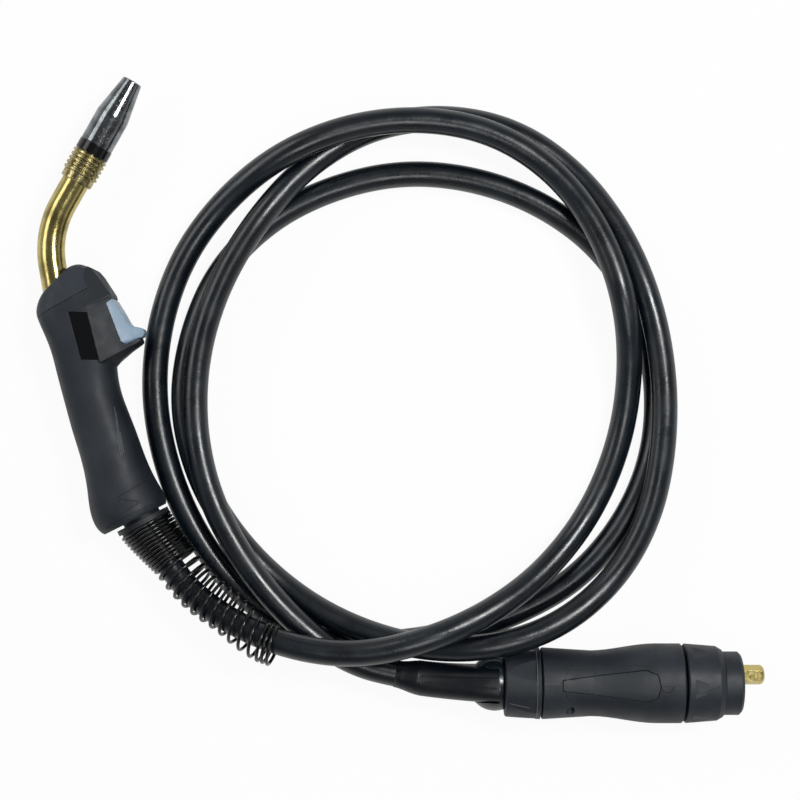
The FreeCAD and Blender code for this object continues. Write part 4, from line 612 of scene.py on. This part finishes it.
def grown(name: str, seed: bpy.types.Object, tree: Tree, values: dict[str, Any]) -> bpy.types.Object:
    """Runs a Geometry Nodes tree on a seed and keeps the result as a plain mesh.

    Args:
        name: the new piece's name.
        seed: the object that the tree starts from, which is deleted.
        tree: the tree.
        values: its inputs by name.

    Returns:
        The new piece.
    """
    modifier = seed.modifiers.new("grow", "NODES")
    modifier.node_group = tree
    for socket in tree.interface.items_tree:
        if socket.in_out == "INPUT" and socket.name in values:
            modifier[socket.identifier] = values[socket.name]
    bpy.context.view_layer.update()
    ready = seed.evaluated_get(bpy.context.evaluated_depsgraph_get())
    mesh = bpy.data.meshes.new_from_object(ready)
    seed.modifiers.remove(modifier)
    bpy.data.objects.remove(seed)
    mesh.name = name
    for face in mesh.polygons:
        face.use_smooth = True
    return link(name, mesh)


@dataclass
class SurfaceLines:
    """Thin beads for moulded lines on one solid, laid on it from above; their colours are mostly painted
    highlights or painted shade.

    Attributes:
        name: name of the piece.
        node: the solid that carries them.
        slot: their material slot.
        finish: their finish.
        lines: each line's corners in plan, in millimetres.
        radius_mm: radius of the bead.
        sunk_mm: how deep its middle lies under the surface.
        above_mm: height from which the lines are laid.
        step_mm: distance between a bead's points.
        body: the body that they ride on.
    """

    name: str
    node: str
    slot: Slot
    finish: Finish
    lines: list[list[Pair]]
    radius_mm: float = 0.3
    sunk_mm: float = 0.16
    above_mm: float = 80.0
    step_mm: float = 1.0
    body: str = "torch"

    def build(self, nodes: dict[str, bpy.types.Object]) -> None:
        """Lays the lines.

        Args:
            nodes: the solids by name.
        """
        places = [(x * MM, y * MM, self.above_mm * MM) for line in self.lines for x, y in line]
        pairs = []
        first = 0
        for line in self.lines:
            pairs += [(first + i, first + i + 1) for i in range(len(line) - 1)]
            first += len(line)
        mesh = bpy.data.meshes.new(self.name)
        mesh.from_pydata(places, pairs, [])
        values = {
            "Surface": nodes[self.node],
            "Radius": self.radius_mm * MM,
            "Sunk": self.sunk_mm * MM,
            "Step": self.step_mm * MM,
            "Finish": self.finish.material(),
        }
        piece = grown(self.name, link(self.name, mesh), surface_tree(), values)
        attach(piece, self.body)
        faces = len(piece.data.polygons)
        LOG.info("%s: %d lines on %s, %d faces", self.name, len(self.lines), self.node, faces)


# Grip ridges coloured pale: painted highlights along them
HANDLE_LINES = SurfaceLines(
    "grip_lines", "handle_upper_shell", Slot.HANDLE, LINE_HIGHLIGHT,
    [[(-27.2, -23.8), (-22.6, -53.9)], [(-26.0, -27.6), (-21.5, -54.2)], [(-23.3, -39.5), (-20.8, -52.6)]],
    radius_mm=0.22, sunk_mm=0.12,
)
BOOT_LINES = SurfaceLines(
    "boot_ridges", "bend_sleeve", Slot.CABLE, BOOT_RUBBER,
    [[(166.1, -181.6), (213.0, -187.9)], [(166.0, -197.4), (213.0, -200.4)]],
    radius_mm=0.7, sunk_mm=0.35,
)
# A dark bead painted as the shade in the boot's groove
BOOT_GROOVE_SHADE = SurfaceLines(
    "boot_seam", "bend_sleeve", Slot.CABLE, LINE_SHADE, [[(165.6, -192.9), (213.0, -193.8)]],
    radius_mm=0.35, sunk_mm=0.2,
)
# Pale beads painted as the highlights on the collar's rim and facets
COLLAR_LINES = SurfaceLines(
    "collar_marks", "rear_collar", Slot.PLUG, LINE_HIGHLIGHT,
    [[(238.3, -177.0), (238.3, -200.0), (238.3, -219.0)], [(220.9, -209.3), (233.4, -212.4)]],
    radius_mm=0.24, sunk_mm=0.12,
)
# Dark beads painted as the shade along the inlay's engraved outline
PANEL_LINES = [
    SurfaceLines(
        "panel_lines_" + side, "housing_" + side, Slot.PLUG, LINE_SHADE, lines, radius_mm=0.26, sunk_mm=0.12,
    )
    for side, lines in (
        ("left", [[(254.6, -195.2), (258.3, -187.1), (299.5, -185.2), (311.9, -185.9)]]),
        ("right", [[(254.6, -201.0), (258.9, -208.3), (262.0, -209.4)]]),
    )
]
# Dark beads painted as lines of shade on the nut
NUT_LINES = SurfaceLines(
    "nut_marks", "adaptor_nut", Slot.PLUG, LINE_SHADE,
    [[(336.9, -200.2), (339.3, -202.7), (351.8, -198.0)], [(345.0, -187.7), (351.2, -190.2)]],
    radius_mm=0.24, sunk_mm=0.12, body="nut_body",
)


@dataclass
class Trigger:
    """The trigger with its finger edges broken, as a moulding has them.

    Attributes:
        chamfer: width of the broken edge.
        flat: least upward share of a face that counts as the trigger's side face.
        upright: most upward share of a face that counts as its finger edge.
        finger_side: least rightward share of the finger edge's way.
        weld: distance under which points of the solid's mesh are one.
        even: angle in degrees under which its faces are merged.
        name: name of the piece.
    """

    chamfer: float = 1.3 * MM
    flat: float = 0.75
    upright: float = 0.3
    finger_side: float = -0.35
    weld: float = 0.002 * MM
    even: float = 1.5
    name: str = "trigger_moulding"

    def build(self, nodes: dict[str, bpy.types.Object]) -> None:
        """Makes the trigger from a merged copy of its solid.

        Args:
            nodes: the solids by name.
        """
        mesh = bmesh.new()
        mesh.from_mesh(nodes["trigger"].data)
        bmesh.ops.remove_doubles(mesh, verts=mesh.verts, dist=self.weld)
        even = math.radians(self.even)
        bmesh.ops.dissolve_limit(mesh, angle_limit=even, verts=mesh.verts, edges=mesh.edges)
        mesh.normal_update()
        broken = []
        for edge in mesh.edges:
            if len(edge.link_faces) != 2:
                continue
            side, finger = sorted((f.normal for f in edge.link_faces), key=lambda n: -abs(n.z))
            if abs(side.z) > self.flat and abs(finger.z) < self.upright and finger.x > self.finger_side:
                broken.append(edge)
        # The broken edges take the darker copy, painted as the bevel band's shade
        finishes = (TRIGGER_ABS, TRIGGER_SHADED_EDGE)
        cut = {"offset": self.chamfer, "segments": 2, "profile": 0.5, "clamp_overlap": True}
        cut["material"] = finishes.index(TRIGGER_SHADED_EDGE)
        made = bmesh.ops.bevel(mesh, geom=broken, affect="EDGES", **cut)
        data = bpy.data.meshes.new(self.name)
        mesh.to_mesh(data)
        mesh.free()
        for finish in finishes:
            data.materials.append(finish.material())
        piece = link(self.name, data)
        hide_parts("trigger")
        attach(piece, "trigger_body")
        LOG.info("%s: %d broken edges, %d new faces", self.name, len(broken), len(made["faces"]))


# Control points of the cable's middle, from the handle to the plug
CABLE_ROUTE: list[Point] = [
    (-0.02014, -0.07895, 0.0235), (0.00391, -0.12615, 0.0235), (0.03416, -0.15355, 0.0335),
    (0.07786, -0.17345, 0.0412), (0.12486, -0.17995, 0.0442), (0.17086, -0.16945, 0.0485),
    (0.21186, -0.15195, 0.038), (0.24686, -0.12745, 0.02), (0.27636, -0.09095, 0.0083),
    (0.29436, -0.04745, 0.0083), (0.30036, -0.00195, 0.017), (0.29536, 0.04205, 0.0335),
    (0.28036, 0.08655, 0.029), (0.25336, 0.12505, 0.0225), (0.21386, 0.15105, 0.024),
    (0.16786, 0.16005, 0.0255), (0.12086, 0.15505, 0.0275), (0.07736, 0.13705, 0.03),
    (0.04086, 0.11055, 0.0145), (0.01236, 0.07405, 0.0083), (-0.00314, 0.03005, 0.0083),
    (-0.00714, -0.01695, 0.0083), (0.00136, -0.06295, 0.0083), (0.01986, -0.10595, 0.0083),
    (0.04836, -0.14345, 0.0083), (0.08636, -0.17095, 0.0083), (0.13336, -0.17795, 0.0083),
    (0.17986, -0.17245, 0.0083), (0.22486, -0.15845, 0.0083), (0.26586, -0.13595, 0.0083),
    (0.29686, -0.10045, 0.0083), (0.31586, -0.05745, 0.0083), (0.31936, -0.01045, 0.0083),
    (0.30936, 0.03555, 0.0083), (0.28536, 0.07605, 0.0083), (0.24836, 0.10505, 0.0083),
    (0.20486, 0.12255, 0.0083), (0.15786, 0.12805, 0.0083), (0.11186, 0.11905, 0.0083),
    (0.06936, 0.09855, 0.0083), (0.03586, 0.06555, 0.0083), (0.01736, 0.02305, 0.0083),
    (0.01086, -0.02345, 0.0083), (0.02186, -0.06945, 0.0083), (0.04536, -0.10895, 0.0083),
    (0.07886, -0.14195, 0.0088), (0.11836, -0.16395, 0.021), (0.16336, -0.17695, 0.0282),
    (0.20936, -0.17595, 0.039), (0.25286, -0.16245, 0.035), (0.28936, -0.13395, 0.0245),
    (0.31236, -0.09295, 0.023), (0.32086, -0.04645, 0.0255), (0.32036, 0.00055, 0.0255),
    (0.31086, 0.04655, 0.0255), (0.29336, 0.08905, 0.018), (0.26636, 0.12655, 0.009),
    (0.22786, 0.15405, 0.0083), (0.18186, 0.16405, 0.0083), (0.13486, 0.15755, 0.0083),
    (0.09486, 0.13355, 0.015), (0.06486, 0.09955, 0.0268), (0.03936, 0.06005, 0.0258),
    (0.02386, 0.01555, 0.0236), (0.02036, -0.03095, 0.0236), (0.02936, -0.07745, 0.026),
    (0.05036, -0.11895, 0.0255), (0.07936, -0.15545, 0.0255), (0.11786, -0.18595, 0.0255),
    (0.15886, -0.19595, 0.0257), (0.19936, -0.19945, 0.0257), (0.25686, -0.19945, 0.0257),
]

# Solids on the cable's far end
PLUG_PIECES: list[str] = [
    "bend_sleeve", "cable_support", "rear_collar", "rear_crimp", "power_block", "housing_left",
    "housing_right", "grip_inlay_upper", "grip_inlay_lower", "housing_screws", "adaptor_nut", "plug_body",
    "retaining_ring", "gun_pin", "liner_nut", "contact_pin_upper", "contact_pin_lower", "contact_barrels",
    "contact_springs", "control_leads",
]


@dataclass
class Cable:
    """The torch's cable, on one smooth curve from the handle to the plug.

    Attributes:
        radius: of the jacket.
        length: real length, handle to plug.
        exit: where it leaves the handle.
        order: of its curve; 3 keeps it smooth and close to the route.
        steps: points of the curve for each one of the route.
        roundness: bevel steps; the section has four facets and two more for each.
        name: name of the piece.
    """

    radius: float = 8.25 * MM
    length: float = 3.31
    exit: Point = (-0.01184, -0.09525, 0.0235)
    order: int = 3
    steps: int = 12
    roundness: int = 10
    name: str = "cable_jacket"

    def curve(self, bevel: float) -> bpy.types.Object:
        """Makes the route's curve.

        Args:
            bevel: its thickness as a radius, 0 for the bare line.

        Returns:
            The curve's object.
        """
        data = bpy.data.curves.new("cable_route", "CURVE")
        data.dimensions = "3D"
        data.resolution_u = self.steps
        data.bevel_depth = bevel
        data.bevel_resolution = self.roundness
        spline = data.splines.new("NURBS")
        spline.points.add(len(CABLE_ROUTE) - 1)
        for point, place in zip(spline.points, CABLE_ROUTE):
            point.co = (*place, 1.0)
        spline.order_u = self.order
        spline.use_endpoint_u = True
        return link(self.name, data)

    def line(self) -> list[Vector]:
        """Reads the cable's middle from its smooth curve.

        Returns:
            Points along it, from the handle to the plug.
        """
        bare = self.curve(0.0)
        mesh = bpy.data.meshes.new_from_object(bare)
        points = [vertex.co.copy() for vertex in mesh.vertices]
        bpy.data.meshes.remove(mesh)
        bpy.data.objects.remove(bare)
        return points

    def build(self, plug: list[str]) -> None:
        """Args:
            plug: the pieces on its far end; not used.
        """
        piece = self.curve(self.radius)
        dress(piece, CABLE_JACKET)
        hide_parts("cable")
        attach(piece, "torch")
        LOG.info("%s: %.3f m of %.1f mm", self.name, self.length, 2 * self.radius / MM)


@dataclass
class BootTaper:
    """The thin rear end of the plug's boot, which runs out on the cable.

    Attributes:
        start: where it begins on the cable, along the plug's axis.
        end: where it meets the boot.
        thin: its radius at the start.
        width: half its width at the boot.
        height: half its height at the boot.
        sides: points round it.
        name: name of the piece.
    """

    start: float = 150.5 * MM
    end: float = 165.2 * MM
    thin: float = 8.45 * MM
    width: float = 11.15 * MM
    height: float = 10.2 * MM
    sides: int = 48
    name: str = "boot_taper"

    def stations(self, line: list[Vector]) -> list[Vector]:
        """Picks the part of the cable that it covers.

        Args:
            line: points along the cable's middle.

        Returns:
            Those from just before its start to just after its end.
        """
        last = len(line) - 1
        while last > 0 and line[last].x > self.end:
            last -= 1
        first = last
        while first > 0 and line[first].x > self.start:
            first -= 1
        return line[first : last + 2]

    def ring(self, mesh: bmesh.types.BMesh, stations: list[Vector], i: int) -> list[bmesh.types.BMVert]:
        """Makes its section at one station.

        Args:
            mesh: the mesh it goes in.
            stations: points along its middle.
            i: the station's number.

        Returns:
            The section's points.
        """
        last = len(stations) - 1
        share = i / last
        share = share * share * (3 - 2 * share)
        ahead = (stations[min(i + 1, last)] - stations[max(i - 1, 0)]).normalized()
        side = Vector((0, 0, 1)).cross(ahead).normalized()
        rise = ahead.cross(side)
        half_width = self.thin + (self.width - self.thin) * share
        half_height = self.thin + (self.height - self.thin) * share
        made = []
        for k in range(self.sides):
            turn = math.tau * k / self.sides
            out = side * half_width * math.cos(turn)
            up = rise * half_height * math.sin(turn)
            made.append(mesh.verts.new(stations[i] + out + up))
        return made

    def build(self, line: list[Vector]) -> None:
        """Lofts it along the cable.

        Args:
            line: points along the cable's middle.
        """
        stations = self.stations(line)
        mesh = bmesh.new()
        rings = [self.ring(mesh, stations, i) for i in range(len(stations))]
        for near, far in zip(rings, rings[1:]):
            for k in range(self.sides):
                after = (k + 1) % self.sides
                mesh.faces.new((near[k], near[after], far[after], far[k]))
        mesh.faces.new(rings[0])
        mesh.faces.new(rings[-1])
        bmesh.ops.recalc_face_normals(mesh, faces=mesh.faces)
        data = bpy.data.meshes.new(self.name)
        mesh.to_mesh(data)
        mesh.free()
        for face in data.polygons:
            face.use_smooth = len(face.vertices) < self.sides
        piece = link(self.name, data)
        dress(piece, BOOT_RUBBER)
        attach(piece, "torch")
        LOG.info("%s: %d rings", self.name, len(rings))


@dataclass
class ReliefSpring:
    """The strain relief spring that hugs the cable behind the handle.

    It starts with close turns on the handle's carrier, opens along the cable and ends in close turns.

    Attributes:
        wire: diameter of the enamelled wire.
        start: distance along the cable to its first turn.
        parts: turns and pitch of its close, open and end turns.
        radii: of its turns at the carrier, after the close turns and at its end.
        hug: distance from the cable's middle to the wire where it touches.
        droop_from: share of the open turns after which it hangs to the other side.
        step: distance between the wire's points along the cable.
        seed_step: the same for the line that the wire is wound round.
        name: name of the piece.
    """

    wire: float = 2.2 * MM
    start: float = 22.8 * MM
    parts: tuple[tuple[int, float], ...] = ((12, 2.505 * MM), (11, 7.0 * MM), (3, 3.1 * MM))
    radii: Point = (16.9 * MM, 14.1 * MM, 12.6 * MM)
    hug: float = 8.6 * MM
    droop_from: float = 0.64
    step: float = 0.08 * MM
    seed_step: float = 0.5 * MM
    name: str = "relief_coil"

    def tree(self) -> Tree:
        """The Geometry Nodes tree that winds a wire round a line.

        The line carries each point's turn, the coil's radius there and how far it bows to the side.

        Returns:
            The tree, with no inputs of its own.
        """
        tree, given, line = line_tree("wound_wire", {})
        read = "GeometryNodeInputNamedAttribute"
        turn, radius, bow = (
            add(tree, read, {"Name": name}, data_type="FLOAT").outputs["Attribute"]
            for name in ("turn", "radius", "bow")
        )
        ahead = add(tree, "GeometryNodeInputTangent").outputs["Tangent"]
        side = vector(tree, "NORMALIZE", vector(tree, "CROSS_PRODUCT", (0, 0, 1), ahead))
        rise = vector(tree, "CROSS_PRODUCT", ahead, side)
        angle = calc(tree, "MULTIPLY", turn, math.tau)
        out = calc(tree, "MULTIPLY_ADD", radius, calc(tree, "COSINE", angle), bow)
        up = calc(tree, "MULTIPLY", radius, calc(tree, "SINE", angle))
        shift = vector(tree, "ADD", scaled(tree, side, out), scaled(tree, rise, up))
        wound = add(tree, "GeometryNodeSetPosition", {"Geometry": line, "Offset": shift}).outputs["Geometry"]
        end_tree(tree, given, wound, WIRE_SIDES)
        return tree

    def law(self, distance: float) -> tuple[float, float, float]:
        """Describes the coil at one place.

        Args:
            distance: from its start along the cable.

        Returns:
            The turn there, the coil's radius and how far it bows to the side.
        """
        close, opened, _ = (turns * pitch for turns, pitch in self.parts)
        turn = 0.0
        rest = distance
        for turns, pitch in self.parts:
            turn += min(rest / pitch, turns)
            rest = max(rest - turns * pitch, 0.0)
        first = min(distance / close, 1.0)
        share = min(max((distance - close) / opened, 0.0), 1.0)
        wide, waist, end = self.radii
        radius = wide + (waist - wide) * first + (end - waist) * share
        droop = max(share - self.droop_from, 0.0) / (1.0 - self.droop_from)
        return turn, radius, (radius - self.hug - self.wire / 2) * (first**1.5 - 2 * droop)

    def build(self, line: list[Vector]) -> None:
        """Winds the spring round the cable.

        Args:
            line: points along the cable's middle.
        """
        whole = sum(turns * pitch for turns, pitch in self.parts)
        places = []
        laws = []
        walked = 0.0
        goal = self.start
        for here, there in zip(line, line[1:]):
            run = (there - here).length
            while walked + run >= goal and goal <= self.start + whole:
                places.append(here.lerp(there, (goal - walked) / run))
                laws.append(self.law(goal - self.start))
                goal += self.seed_step
            walked += run
        mesh = bpy.data.meshes.new(self.name)
        mesh.from_pydata(places, [(i, i + 1) for i in range(len(places) - 1)], [])
        for name, values in zip(("turn", "radius", "bow"), zip(*laws)):
            mesh.attributes.new(name, "FLOAT", "POINT").data.foreach_set("value", values)
        values = {"Radius": self.wire / 2, "Step": self.step, "Finish": SPRING_ENAMEL.material()}
        piece = grown(self.name, link(self.name, mesh), self.tree(), values)
        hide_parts("strain_relief_spring")
        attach(piece, "torch")
        LOG.info("%s: %.1f turns, %d faces", self.name, laws[-1][0], len(piece.data.polygons))


@dataclass(frozen=True)
class Lamp:
    """One soft lamp.

    Attributes:
        name: the lamp's name.
        place: where it hangs.
        aim: the point it faces.
        sides: its length, which is level, and its width.
        power: its power in watts.
    """

    name: str
    place: Point
    aim: Point
    sides: Pair
    power: float

    def hang(self) -> None:
        """Puts it in the scene."""
        data = bpy.data.lights.new(self.name, "AREA")
        data.shape = "RECTANGLE"
        data.size, data.size_y = self.sides
        data.energy = self.power
        lamp = link(self.name, data)
        lamp.location = self.place
        lamp.rotation_euler = (Vector(self.aim) - Vector(self.place)).to_track_quat("-Z", "Y").to_euler()


LAMPS = (
    Lamp("key", place=(0.82, 0.34, 1.45), aim=(0.1, 0, 0), sides=(0.42, 0.42), power=15),
    Lamp("fill", place=(-1.1, 0.75, 1.15), aim=(0.0, 0.13, 0), sides=(1.9, 0.75), power=10),
    Lamp("top", place=(0.35, -0.55, 1.5), aim=(0.2, -0.1, 0), sides=(0.5, 0.5), power=3.5),
)


@dataclass
class Studio:
    """Pale floor, soft light and the camera.

    Attributes:
        eye: the camera's place, straight above the picture's middle.
        field: its field of view in degrees.
        far: how far it sees.
        half_floor: half the floor's width.
        floor_white: share of the floor's own white where it is seen.
        floor_gloss: the same in reflections.
        ambient: strength of the light from all around.
        horizon: heights of a reflected ray at which the horizon starts to show and is full.
        horizon_white: share of the world's own white along the horizon in reflections.
    """

    eye: Point = (0.15236, -0.01945, 1.17)
    field: float = 25.06
    far: float = 20.0
    half_floor: float = 3.0
    floor_white: float = 0.94
    floor_gloss: float = 0.5
    ambient: float = 0.17
    horizon: Pair = (0.5, 0.2)
    horizon_white: float = 0.4

    @staticmethod
    def seen(tree: Tree, glossy: Any, direct: float) -> Socket:
        """Finds how much of a backdrop's own white a ray gets.

        Args:
            tree: the backdrop's tree.
            glossy: share in reflections, as a number or a socket.
            direct: share where the camera sees it, straight or through a clear piece.

        Returns:
            The share for each ray, which is 0 for the light that falls on pieces.
        """
        rays = add(tree, "ShaderNodeLightPath").outputs
        share = calc(tree, "MULTIPLY", rays["Is Glossy Ray"], glossy)
        for name in ("Is Camera Ray", "Is Transmission Ray"):
            share = calc(tree, "MAXIMUM", share, calc(tree, "MULTIPLY", rays[name], direct))
        return share

    def floor(self) -> None:
        """A white floor that keeps a faint shadow and shows pale in reflections too."""
        mesh = bpy.data.meshes.new("floor")
        half = self.half_floor
        corners = [(-half, -half, 0), (half, -half, 0), (half, half, 0), (-half, half, 0)]
        mesh.from_pydata(corners, [], [(0, 1, 2, 3)])
        made = bpy.data.materials.new("white_paper")
        made.use_nodes = True
        tree = made.node_tree
        tree.nodes.clear()
        seen = self.seen(tree, self.floor_gloss, self.floor_white)
        paper = add(tree, "ShaderNodeBsdfDiffuse", {"Color": linear("#f4f4f4")})
        glow = add(tree, "ShaderNodeEmission", {"Color": (1, 1, 1, 1), "Strength": 1.0})
        mix = add(tree, "ShaderNodeMixShader", {0: seen, 1: paper.outputs[0], 2: glow.outputs[0]})
        add(tree, "ShaderNodeOutputMaterial", {"Surface": mix.outputs[0]})
        mesh.materials.append(made)
        link("floor", mesh)

    def world(self) -> None:
        """Soft light from all around, white where it is seen and pale along the horizon in reflections."""
        world = bpy.data.worlds.new("studio")
        bpy.context.scene.world = world
        world.use_nodes = True
        tree = world.node_tree
        tree.nodes.clear()
        way = add(tree, "ShaderNodeTexCoord").outputs["Generated"]
        height = add(tree, "ShaderNodeSeparateXYZ", {0: way}).outputs["Z"]
        low = {"Value": height, "From Min": self.horizon[0], "From Max": self.horizon[1]}
        low |= {"To Min": 0.0, "To Max": self.horizon_white}
        pale = add(tree, "ShaderNodeMapRange", low).outputs["Result"]
        seen = self.seen(tree, pale, direct=1.0)
        dim = add(tree, "ShaderNodeBackground", {"Color": linear("#f2f4f8"), "Strength": self.ambient})
        white = add(tree, "ShaderNodeBackground", {"Color": (1, 1, 1, 1), "Strength": 1.0})
        mix = add(tree, "ShaderNodeMixShader", {0: seen, 1: dim.outputs[0], 2: white.outputs[0]})
        add(tree, "ShaderNodeOutputWorld", {"Surface": mix.outputs[0]})

    def camera(self) -> None:
        """The camera looks straight down, the picture's top towards +Y."""
        data = bpy.data.cameras.new("camera")
        data.angle = math.radians(self.field)
        data.clip_end = self.far
        camera = link("camera", data)
        camera.location = self.eye
        bpy.context.scene.camera = camera

    def build(self) -> None:
        """Sets up the whole studio."""
        bpy.context.scene.view_settings.view_transform = "Standard"
        self.floor()
        self.world()
        for lamp in LAMPS:
            lamp.hang()
        self.camera()
        LOG.info("studio: camera at %s, %.2f degrees", self.eye, self.field)


def main() -> None:
    """Builds the torch piece by piece."""
    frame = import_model()
    slot_of = {part["node"]: part["material_slot"] for part in frame["record"]["subparts"]}
    for name, piece in frame["nodes"].items():
        dress(piece, FINISH_OF_NODE.get(name, FINISH_OF[Slot(slot_of[name])]))
        LOG.info("%s: %s", name, slot_of[name])
    Trigger().build(frame["nodes"])
    for lines in (HANDLE_LINES, BOOT_LINES, BOOT_GROOVE_SHADE, COLLAR_LINES, *PANEL_LINES, NUT_LINES):
        lines.build(frame["nodes"])
    cable = Cable()
    line = cable.line()
    taper = BootTaper()
    taper.build(line)
    ReliefSpring().build(line)
    cable.build(PLUG_PIECES + [taper.name, BOOT_LINES.name, BOOT_GROOVE_SHADE.name])
    Studio().build()


if __name__ == "__main__":
    main()
